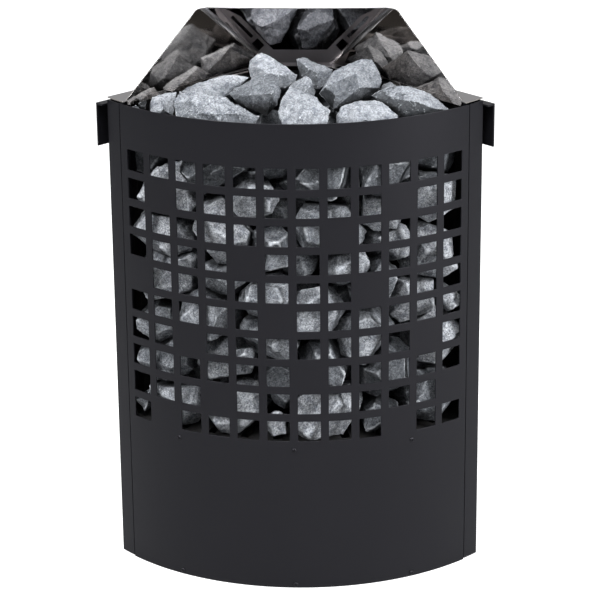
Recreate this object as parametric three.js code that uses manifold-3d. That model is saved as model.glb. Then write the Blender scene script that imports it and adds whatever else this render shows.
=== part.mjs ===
// A wall-hung corner sauna heater: a bowed grille casing filled with stones, with a three-facet reflector behind the heap.
// Millimetres, +Z up. The grille faces -Y and the room corner lies towards +Y.
import * as THREE from 'three';
import { mergeVertices } from 'three/addons/utils/BufferGeometryUtils.js';
import { ConvexGeometry } from 'three/addons/geometries/ConvexGeometry.js';
import Module from 'manifold-3d';

// ---- driving dimensions ----
const CASING_R = 265;            // outer radius of the bowed front
const SHEET = 1.5;               // casing sheet
const CASING_H = 531;            // height of the front panel
const PANEL_HALF_DEG = 44.42;    // the front panel covers a quarter circle
const STRIP_FROM_DEG = 44.6;     // the side panels carry the bow on to here ...
const SIDE_K = 18.5;             // ... and turn back along the walls, this far outside the 45 degree radius
const COLS = 12, ROWS = 10;      // cut-out grid
const COL_PITCH_DEG = 7.205, HOLE_W_DEG = 5.291;
const ROW_PITCH = 31.64, HOLE_H = 23, ROW1_BELOW_RIM = 59.5;
const BLANK_CELLS = [[1, 5], [2, 2], [2, 10], [3, 7], [4, 9], [5, 4], [6, 6], [7, 8], [8, 3], [9, 5], [10, 2], [10, 10], [11, 7], [12, 9]];
const PANEL_STRIPS = [[1, 1], [2, 3], [4, 5], [6, 7], [8, 9], [10, 11], [12, 12]];   // columns of each strip of the front panel
const STRIP_GAP_DEG = 0.01;
const SCREW_DEG = [-28.6, 0, 28.6], SCREW_Z = [4.2, 165], SCREW_HOLE_R = 1.9;
const BACK_Y = -20;              // outer face of the back panel
const SHIELD_K = 8;              // outer face of the heat shields
const GRATE_Z = 170;             // top of the stone grate
const ELEMENT_PLATE_Z = 120;
const BASE_Z = 25.5;             // top of the recessed base plate
const BED_TOP = CASING_H - 24.6; // level on which the top stones lie
const FLANGE_Z = 2.4;            // reflector flange above the rim
const REFLECTOR_RISE = 82;       // reflector top above the rim
const LEDGE_K = -13.5, LEDGE_Y = -48.8;   // inner edges of the ledge at the back of the heap
const FACET_K = -6.5, FACET_U = 258;      // front foot of the reflector's long facets
const WALL_K = 30;               // wall plane
const BRACKET_TOP = CASING_H - 4, BRACKET_H = 48;
const ELEMENT_R = 4, ELEMENT_TOP = 440, ELEMENT_FOOT = 94, ELEMENT_HALF_SPAN = 22;
// element centres and the direction of each hairpin's plane
const ELEMENTS = [[0, -92, 0], [-74, -152, 40], [74, -152, -40]];
const CENTRE_Y = 143.7;          // puts the outer box's middle on the origin

const S = Math.SQRT1_2;
const RAD = Math.PI / 180;

// ---- helpers ----
const wasm = await Module();
wasm.setup();

function solid(geometry) {
  let g = geometry.clone();
  g.deleteAttribute('normal');
  g.deleteAttribute('uv');
  g = mergeVertices(g, 1e-4);
  return new wasm.Manifold(new wasm.Mesh({
    numProp: 3,
    vertProperties: new Float32Array(g.attributes.position.array),
    triVerts: new Uint32Array(g.index.array),
  }));
}

function geometryOf(manifold) {
  const m = manifold.getMesh();
  const g = new THREE.BufferGeometry();
  const pos = new Float32Array(m.numVert * 3);
  for (let i = 0; i < m.numVert; i++) {
    for (let a = 0; a < 3; a++) pos[3 * i + a] = m.vertProperties[i * m.numProp + a];
  }
  g.setAttribute('position', new THREE.BufferAttribute(pos, 3));
  g.setIndex(Array.from(m.triVerts));
  g.computeVertexNormals();
  return g;
}

function moved(geometry, matrix) {
  return geometry.clone().applyMatrix4(matrix);
}

// a plan outline, extruded from one height to another
function slab(points, z0, z1, holes = []) {
  const shape = new THREE.Shape(points.map((p) => new THREE.Vector2(p[0], p[1])));
  for (const h of holes) shape.holes.push(new THREE.Path(h.map((p) => new THREE.Vector2(p[0], p[1]))));
  const g = new THREE.ExtrudeGeometry(shape, { depth: z1 - z0, bevelEnabled: false, curveSegments: 12 });
  g.translate(0, 0, z0);
  return g;
}

const at = (r, deg) => [r * Math.sin(deg * RAD), -r * Math.cos(deg * RAD)];
function arc(r, from, to, n) {
  const out = [];
  for (let i = 0; i <= n; i++) out.push(at(r, from + (to - from) * i / n));
  return out;
}
// left wall coordinates: u runs from the corner outwards along the wall, k towards the wall
const left = (u, k) => [-S * (u + k), S * (k - u)];
const mirror = (points) => points.map(([x, y]) => [-x, y]).reverse();
const circle = (x, y, r, n = 12) => Array.from({ length: n }, (_, i) => [x + r * Math.cos(2 * Math.PI * i / n), y + r * Math.sin(2 * Math.PI * i / n)]);
const kOf = (r, k) => Math.sqrt(r * r - k * k);        // u where the circle of radius r meets a given k
const degOf = (p) => Math.atan2(p[0], -p[1]) / RAD;

function cylinderAlong(r, length, centre, dir, sides = 12) {
  const g = new THREE.CylinderGeometry(r, r, length, sides);
  const q = new THREE.Quaternion().setFromUnitVectors(new THREE.Vector3(0, 1, 0), new THREE.Vector3(...dir).normalize());
  return moved(g, new THREE.Matrix4().compose(new THREE.Vector3(...centre), q, new THREE.Vector3(1, 1, 1)));
}

function cut(geometry, ...tools) {
  let m = solid(geometry);
  for (const t of tools) m = m.subtract(solid(t));
  return geometryOf(m);
}
function join(...parts) {
  let m = solid(parts[0]);
  for (const p of parts.slice(1)) m = m.add(solid(p));
  return geometryOf(m);
}

// a hairpin: two straight legs and a half turn, stepped finely only in the turn
class Hairpin extends THREE.Curve {
  constructor(half, foot, top, turn) { super(); Object.assign(this, { half, foot, top, turn }); }
  getPoint(t, target = new THREE.Vector3()) {
    const n = this.turn + 2, s = t * n, straight = this.top - this.half;
    if (s <= 1) return target.set(-this.half, 0, this.foot + (straight - this.foot) * s);
    if (s >= n - 1) return target.set(this.half, 0, straight + (this.foot - straight) * (s - n + 1));
    const a = Math.PI * (1 - (s - 1) / this.turn);
    return target.set(this.half * Math.cos(a), 0, straight + this.half * Math.sin(a));
  }
  getTangent(t, target = new THREE.Vector3()) {
    const n = this.turn + 2, s = t * n;
    if (s <= 1) return target.set(0, 0, 1);
    if (s >= n - 1) return target.set(0, 0, -1);
    const a = Math.PI * (1 - (s - 1) / this.turn);
    return target.set(Math.sin(a), 0, -Math.cos(a)).normalize();
  }
  getPointAt(u, target) { return this.getPoint(u, target); }
  getTangentAt(u, target) { return this.getTangent(u, target); }
}

function roundShape(r, n) {
  return new THREE.Shape(circle(0, 0, r, n).map((p) => new THREE.Vector2(p[0], p[1])));
}

// ---- finishes ----
const finish = {
  black: () => new THREE.MeshStandardMaterial({ color: 0x17171a, roughness: 0.5, metalness: 0.2 }),
  mirror: () => new THREE.MeshStandardMaterial({ color: 0x57524f, roughness: 0.06, metalness: 1 }),
  zinc: () => new THREE.MeshStandardMaterial({ color: 0xa4a6a4, roughness: 0.4, metalness: 0.9 }),
  element: () => new THREE.MeshStandardMaterial({ color: 0x4b4a44, roughness: 0.5, metalness: 0.8 }),
  brass: () => new THREE.MeshStandardMaterial({ color: 0xb08d45, roughness: 0.35, metalness: 0.9 }),
  ceramic: () => new THREE.MeshStandardMaterial({ color: 0xe6e1d4, roughness: 0.6, metalness: 0 }),
  lead: () => new THREE.MeshStandardMaterial({ color: 0xc9c2b2, roughness: 0.8, metalness: 0 }),
  gland: () => new THREE.MeshStandardMaterial({ color: 0x1f1f21, roughness: 0.6, metalness: 0 }),
  stone: () => new THREE.MeshStandardMaterial({ color: 0x8d9298, roughness: 0.9, metalness: 0 }),
};

const heater = new THREE.Group();
heater.position.y = CENTRE_Y;
function piece(name, geometry, material, parent = heater) {
  const mesh = new THREE.Mesh(geometry, material);
  mesh.name = name;
  parent.add(mesh);
  return mesh;
}

// ---- front panel: a bowed sheet with a grid of square cut-outs, some cells left blank ----
// The one sheet is laid up as upright strips that meet in the middle of the lands, so that each strip is nearly flat.
{
  const blank = new Set(BLANK_CELLS.map(([c, r]) => c + ',' + r));
  const middle = (c) => (c - (COLS + 1) / 2) * COL_PITCH_DEG;
  const zs = [CASING_H];
  for (let r = 1; r <= ROWS; r++) {
    const mid = CASING_H - ROW1_BELOW_RIM - (r - 1) * ROW_PITCH;
    zs.push(mid + HOLE_H / 2, mid - HOLE_H / 2);
  }
  zs.push(0);
  PANEL_STRIPS.forEach(([first, last], n) => {
    const from = first === 1 ? -PANEL_HALF_DEG : middle(first) - COL_PITCH_DEG / 2 + STRIP_GAP_DEG;
    const to = last === COLS ? PANEL_HALF_DEG : middle(last) + COL_PITCH_DEG / 2 - STRIP_GAP_DEG;
    const theta = [from];
    for (let c = first; c <= last; c++) theta.push(middle(c) - HOLE_W_DEG / 2, middle(c) + HOLE_W_DEG / 2);
    theta.push(to);
    const nt = theta.length, nz = zs.length, pos = [], index = [];
    const v = (i, j, inner) => (j * nt + i) * 2 + inner;
    for (let j = 0; j < nz; j++) {
      for (let i = 0; i < nt; i++) {
        pos.push(...at(CASING_R, theta[i]), zs[j], ...at(CASING_R - SHEET, theta[i]), zs[j]);
      }
    }
    const full = (i, j) => {
      if (i < 0 || j < 0 || i >= nt - 1 || j >= nz - 1) return false;
      if (i % 2 === 0 || j % 2 === 0) return true;
      return blank.has(first + (i - 1) / 2 + ',' + (j + 1) / 2);
    };
    const quad = (a, b, c, d) => index.push(a, b, c, a, c, d);
    for (let j = 0; j < nz - 1; j++) {
      for (let i = 0; i < nt - 1; i++) {
        if (!full(i, j)) continue;
        quad(v(i, j + 1, 0), v(i + 1, j + 1, 0), v(i + 1, j, 0), v(i, j, 0));
        quad(v(i, j, 1), v(i + 1, j, 1), v(i + 1, j + 1, 1), v(i, j + 1, 1));
        if (!full(i, j - 1)) quad(v(i, j, 0), v(i + 1, j, 0), v(i + 1, j, 1), v(i, j, 1));
        if (!full(i, j + 1)) quad(v(i, j + 1, 1), v(i + 1, j + 1, 1), v(i + 1, j + 1, 0), v(i, j + 1, 0));
        if (!full(i - 1, j)) quad(v(i, j, 1), v(i, j + 1, 1), v(i, j + 1, 0), v(i, j, 0));
        if (!full(i + 1, j)) quad(v(i + 1, j, 0), v(i + 1, j + 1, 0), v(i + 1, j + 1, 1), v(i + 1, j, 1));
      }
    }
    const g = new THREE.BufferGeometry();
    g.setAttribute('position', new THREE.BufferAttribute(new Float32Array(pos), 3));
    g.setIndex(index);
    const screwHoles = [];
    for (const d of SCREW_DEG) {
      if (d < from || d > to) continue;
      for (const z of SCREW_Z) {
        const [x, y] = at(CASING_R, d);
        screwHoles.push(cylinderAlong(SCREW_HOLE_R, 12, [x, y, z], [x, y, 0], 10));
      }
    }
    piece('front_panel_' + (n + 1), screwHoles.length ? cut(g, ...screwHoles) : g, finish.black());
  });
}

// ---- front panel screws: low round heads ----
{
  let n = 1;
  for (const z of SCREW_Z) {
    for (const d of SCREW_DEG) {
      const head = CASING_R + 0.3;
      const profile = [[0, -5.4], [1.5, -5.4], [1.5, 0], [2.6, 0], [2.5, 0.6], [2, 1.2], [1.1, 1.55], [0, 1.65]];
      const g = new THREE.LatheGeometry(profile.map(([r, h]) => new THREE.Vector2(r, h)), 12);
      const m = piece('panel_screw_' + n++, g, finish.black());
      const [x, y] = at(head, d);
      m.position.set(x, y, z);
      m.rotation.z = d * RAD + Math.PI;
    }
  }
}

// ---- side panels: curved front strip, seam return, wall-parallel sheet and a hanging tab ----
{
  const r0 = CASING_R, r1 = CASING_R - SHEET, kIn = SIDE_K - SHEET;
  const endOut = degOf(left(kOf(r0, SIDE_K), SIDE_K)), endIn = degOf(left(kOf(r1, kIn), kIn));
  const uBackOut = SIDE_K - (BACK_Y / S), uBackIn = kIn - (BACK_Y / S);
  const seam = -STRIP_FROM_DEG;
  const turn = (SHEET / r1) / RAD;
  const outline = [
    ...arc(r0, endOut, seam, 3),
    at(r1 - 9, seam),
    at(r1 - 9, seam - turn),
    ...arc(r1, seam - turn, endIn, 3),
    left(uBackIn, kIn),
    left(uBackOut, SIDE_K),
  ];
  const make = (points) => slab(points, 1.2, CASING_H);
  const tab = [left(150, kIn + 0.4), left(150, SIDE_K + 9), left(190, SIDE_K + 9), left(190, kIn + 0.4)];
  const tabAt = (points) => slab(points, BRACKET_TOP + 0.3, BRACKET_TOP + 2);
  piece('left_side_panel', join(make(outline), tabAt(tab)), finish.black());
  piece('right_side_panel', join(make(mirror(outline)), tabAt(mirror(tab))), finish.black());
}

// ---- back panel: flat strip across the corner with returns along the side panels ----
{
  const k0 = SIDE_K - SHEET - 0.35, k1 = k0 - SHEET;
  const u = (k, y) => k - y / S;
  const half = [left(u(k0, BACK_Y), k0), left(90, k0), left(90, k1), left(u(k1, BACK_Y - SHEET), k1)];
  const outline = [...half, ...mirror(half)];
  piece('back_panel', slab(outline, 1.2, CASING_H), finish.black());
}

// ---- inner plates share one fan outline, clear of the casing ----
const fan = (r, k, back, n = 20) => {
  const a = -43.7, rs = CASING_R - SHEET - 10;   // stepped in behind the seam returns
  const half = [left(k - back / S, k), left(kOf(rs, k), k), at(rs, a)];
  return [...half, ...arc(r, a, -a, n), ...mirror(half)];
};
const frontLip = (z0, z1, r = CASING_R - SHEET - 0.65) => {
  const a = 42;
  return slab([...arc(r, -a, a, 20), ...arc(r - SHEET, a, -a, 20)], z0, z1);
};
const lipHoles = (z) => SCREW_DEG.map((d) => {
  const [x, y] = at(CASING_R, d);
  return cylinderAlong(SCREW_HOLE_R, 16, [x, y, z], [x, y, 0], 10);
});
const legs = [];
for (const [x, y, deg] of ELEMENTS) {
  for (const side of [-1, 1]) {
    legs.push([x + side * ELEMENT_HALF_SPAN * Math.cos(deg * RAD), y + side * ELEMENT_HALF_SPAN * Math.sin(deg * RAD)]);
  }
}
const INNER_R = CASING_R - SHEET - 0.65, INNER_K = SIDE_K - SHEET - 2.6, INNER_BACK = BACK_Y - SHEET - 0.5;

// ---- base plate: recessed floor of the connection space, with a front lip for the lower screws ----
const GLAND = [-58, -128], EARTH = [66, -118], BLOCK = [0, -150];
{
  const plate = slab(fan(INNER_R, INNER_K, INNER_BACK), BASE_Z - SHEET, BASE_Z, [
    circle(...GLAND, 10.3, 16), circle(...EARTH, 3.3, 10), circle(BLOCK[0] - 34, BLOCK[1], 2.3, 10), circle(BLOCK[0] + 34, BLOCK[1], 2.3, 10),
  ]);
  piece('base_plate', cut(join(plate, frontLip(1.4, BASE_Z)), ...lipHoles(SCREW_Z[0])), finish.zinc());
}

// ---- element plate: carries the hairpins over the connection space ----
piece('element_plate', slab(fan(INNER_R - 6, INNER_K, INNER_BACK), ELEMENT_PLATE_Z - 2, ELEMENT_PLATE_Z,
  legs.map(([x, y]) => circle(x, y, 5.2, 12))), finish.zinc());

// ---- stone grate: slotted floor of the chamber, with a front lip for the upper screws ----
{
  const slots = [];
  const slot = (r0, r1, deg, w) => {
    const [sx, sy] = at(1, deg), px = -sy, py = sx;
    slots.push([[sx * r0 - px * w, sy * r0 - py * w], [sx * r1 - px * w, sy * r1 - py * w], [sx * r1 + px * w, sy * r1 + py * w], [sx * r0 + px * w, sy * r0 + py * w]]);
  };
  for (const d of [-38, -30, -22, -13, -4.5, 4.5, 13, 22, 30, 38]) slot(200, 248, d, 5);
  for (const d of [-10, 0, 10]) slot(122, 180, d, 5);
  for (const d of [-34, 34]) slot(70, 112, d, 5);
  const plate = slab(fan(INNER_R, INNER_K, INNER_BACK), GRATE_Z - SHEET, GRATE_Z,
    [...slots, ...legs.map(([x, y]) => circle(x, y, 5.2, 12))]);
  piece('stone_grate', cut(join(plate, frontLip(157, GRATE_Z)), ...lipHoles(SCREW_Z[1])), finish.black());
}

// ---- heat shields: inner walls of the stone chamber, held off the casing by their front and rear returns ----
{
  const kO = SHIELD_K, kI = SHIELD_K - 1, kS = SIDE_K - SHEET - 0.4, uF = 236, uB = 66;
  const outline = [left(uF, kI), left(uF, kS), left(uF - 1, kS), left(uF - 1, kO), left(uB, kO), left(uB, kI)].reverse();
  const make = (points) => slab(points, GRATE_Z + 0.4, CASING_H - 5);
  piece('left_heat_shield', make(outline), finish.zinc());
  piece('right_heat_shield', make(mirror(outline)), finish.zinc());
  const y0 = -38, y1 = -37, x = 40;
  const back = [[-x, y0], [x, y0], [x, INNER_BACK - 0.2], [x - 1, INNER_BACK - 0.2], [x - 1, y1], [-x + 1, y1], [-x + 1, INNER_BACK - 0.2], [-x, INNER_BACK - 0.2]];
  piece('back_heat_shield', slab(back, GRATE_Z + 0.4, CASING_H - 5), finish.zinc());
}

// ---- reflector: two long facets along the walls and a back facet leaning over the heap, on a ledge that rests on the casing ----
{
  const t = 1, kF = 0.5;                       // sheet, and the inner face of the long facets at the folds
  const zf = CASING_H + FLANGE_Z, top = CASING_H + REFLECTOR_RISE;
  const foldTop = 142.5, foldFoot = 49;        // u of the folds at the top and at the ledge
  const corner = [];
  for (let i = 0; i <= 5; i++) {               // rounded upper corner of the free edge
    const a = (39 + 51 * i / 5) * RAD;
    corner.push([foldTop + 6 + 12 * Math.cos(a), top - 12 + 12 * Math.sin(a)]);
  }
  const facet = [[foldFoot, zf], [FACET_U, zf], ...corner, [foldTop, top]];
  const shape = new THREE.Shape(facet.map(([u, z]) => new THREE.Vector2(u, z)));
  const plate = new THREE.ExtrudeGeometry(shape, { depth: t, bevelEnabled: false });
  // u runs along the wall, the sheet's thickness towards the wall; each facet turns a little inwards at its front end
  const byU = (FACET_K - kF) / (FACET_U - foldFoot), byZ = -byU * (foldTop - foldFoot) / (top - zf - t);
  const along = new THREE.Vector3(-S, -S, 0), out = new THREE.Vector3(-S, S, 0), up = new THREE.Vector3(0, 0, 1);
  const thick = out.clone().addScaledVector(along, -byU).addScaledVector(up, -byZ).normalize();
  const basis = new THREE.Matrix4().makeBasis(along.clone().addScaledVector(out, byU), up.clone().addScaledVector(out, byZ), thick);
  const origin = left(0, kF - byU * foldFoot - byZ * (zf + t));
  basis.setPosition(origin[0], origin[1], 0);
  const leftFacet = moved(plate, basis);
  const flip = (g) => {
    const f = g.clone().applyMatrix4(new THREE.Matrix4().makeScale(-1, 1, 1));
    if (f.index) {
      const ix = f.index.array;
      for (let i = 0; i < ix.length; i += 3) [ix[i], ix[i + 1]] = [ix[i + 1], ix[i]];
      return f;
    }
    const p = f.attributes.position.array;
    for (let i = 0; i < p.length; i += 9) {
      for (let a = 0; a < 3; a++) [p[i + a], p[i + 3 + a]] = [p[i + 3 + a], p[i + a]];
    }
    return f;
  };
  // back facet between the folds, thickened backwards
  const mid = kF + t / 2;
  const [bx, by] = left(foldFoot, mid), [tx, ty] = left(foldTop, mid);
  const lean = new THREE.Vector3(0, top - zf, -(ty - by)).normalize().multiplyScalar(t);
  const backPts = [];
  for (const [x, y, z] of [[bx, by, zf], [-bx, by, zf], [tx, ty, top], [-tx, ty, top]]) {
    backPts.push(new THREE.Vector3(x, y, z), new THREE.Vector3(x + lean.x, y + lean.y, z + lean.z));
  }
  const backFacet = new ConvexGeometry(backPts);
  // ledge: flat plates outside the long facets, widened at the back of the heap, with a vent slot and a square relief at each corner
  const rF = CASING_R;
  const a0 = degOf(left(kOf(rF, SIDE_K), SIDE_K)), a1 = degOf(left(kOf(rF, FACET_K - 2.1), FACET_K - 2.1));
  const inner = [left(FACET_U, FACET_K - 1.4), left(140, -4), left(108, LEDGE_K)];
  const half = [left(SIDE_K - BACK_Y / S, SIDE_K), ...arc(rF, a0, a1, 3), ...inner, [LEDGE_Y - LEDGE_K / S, LEDGE_Y]];
  const square = (u0, u1, k0, k1) => [left(u0, k0), left(u1, k0), left(u1, k1), left(u0, k1)];
  const vents = [square(82, 114, -5, -8.7), square(66, 77, -1, -10)];
  const ledge = slab([...half, ...mirror(half)], zf, zf + t, [...vents, ...vents.map(mirror)]);
  // a short lip turned down along the plates' inner edge
  const lipLine = [left(142, -4.05), left(FACET_U - 1, FACET_K - 1.35), left(FACET_U - 1, FACET_K - 0.35), left(142, -3.05)];
  const lip = slab(lipLine, zf - 5, zf + t / 2);
  piece('reflector', join(leftFacet, flip(leftFacet), backFacet, ledge, lip, flip(lip)), finish.mirror());
}

// ---- heating elements and their nuts ----
ELEMENTS.forEach(([x, y, deg], i) => {
  const path = new Hairpin(ELEMENT_HALF_SPAN, ELEMENT_FOOT, ELEMENT_TOP, 10);
  const g = new THREE.ExtrudeGeometry(roundShape(ELEMENT_R, 10), { steps: 12, extrudePath: path, bevelEnabled: false });
  const m = piece('heating_element_' + (i + 1), g, finish.element());
  m.position.set(x, y, 0);
  m.rotation.z = deg * RAD;
});
legs.forEach(([x, y], i) => {
  const g = slab(circle(0, 0, 9, 6), ELEMENT_PLATE_Z - 8.5, ELEMENT_PLATE_Z - 2.3, [circle(0, 0, ELEMENT_R + 0.4, 12)]);
  piece('element_nut_' + (i + 1), g, finish.zinc()).position.set(x, y, 0);
});

// ---- stone bed: the fill between grate and rim, with room round each hairpin ----
{
  const bed = slab(fan(258, 4, -42, 16), GRATE_Z + 0.5, BED_TOP);
  const rooms = ELEMENTS.map(([x, y, deg]) => {
    const w = ELEMENT_HALF_SPAN + ELEMENT_R + 3, d = ELEMENT_R + 3;
    const g = slab([[-w, -d], [w, -d], [w, d], [-w, d]], GRATE_Z - 5, ELEMENT_TOP + 9);
    g.rotateZ(deg * RAD);
    g.translate(x, y, 0);
    return g;
  });
  piece('stone_bed', cut(bed, ...rooms), finish.stone());
}

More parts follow.
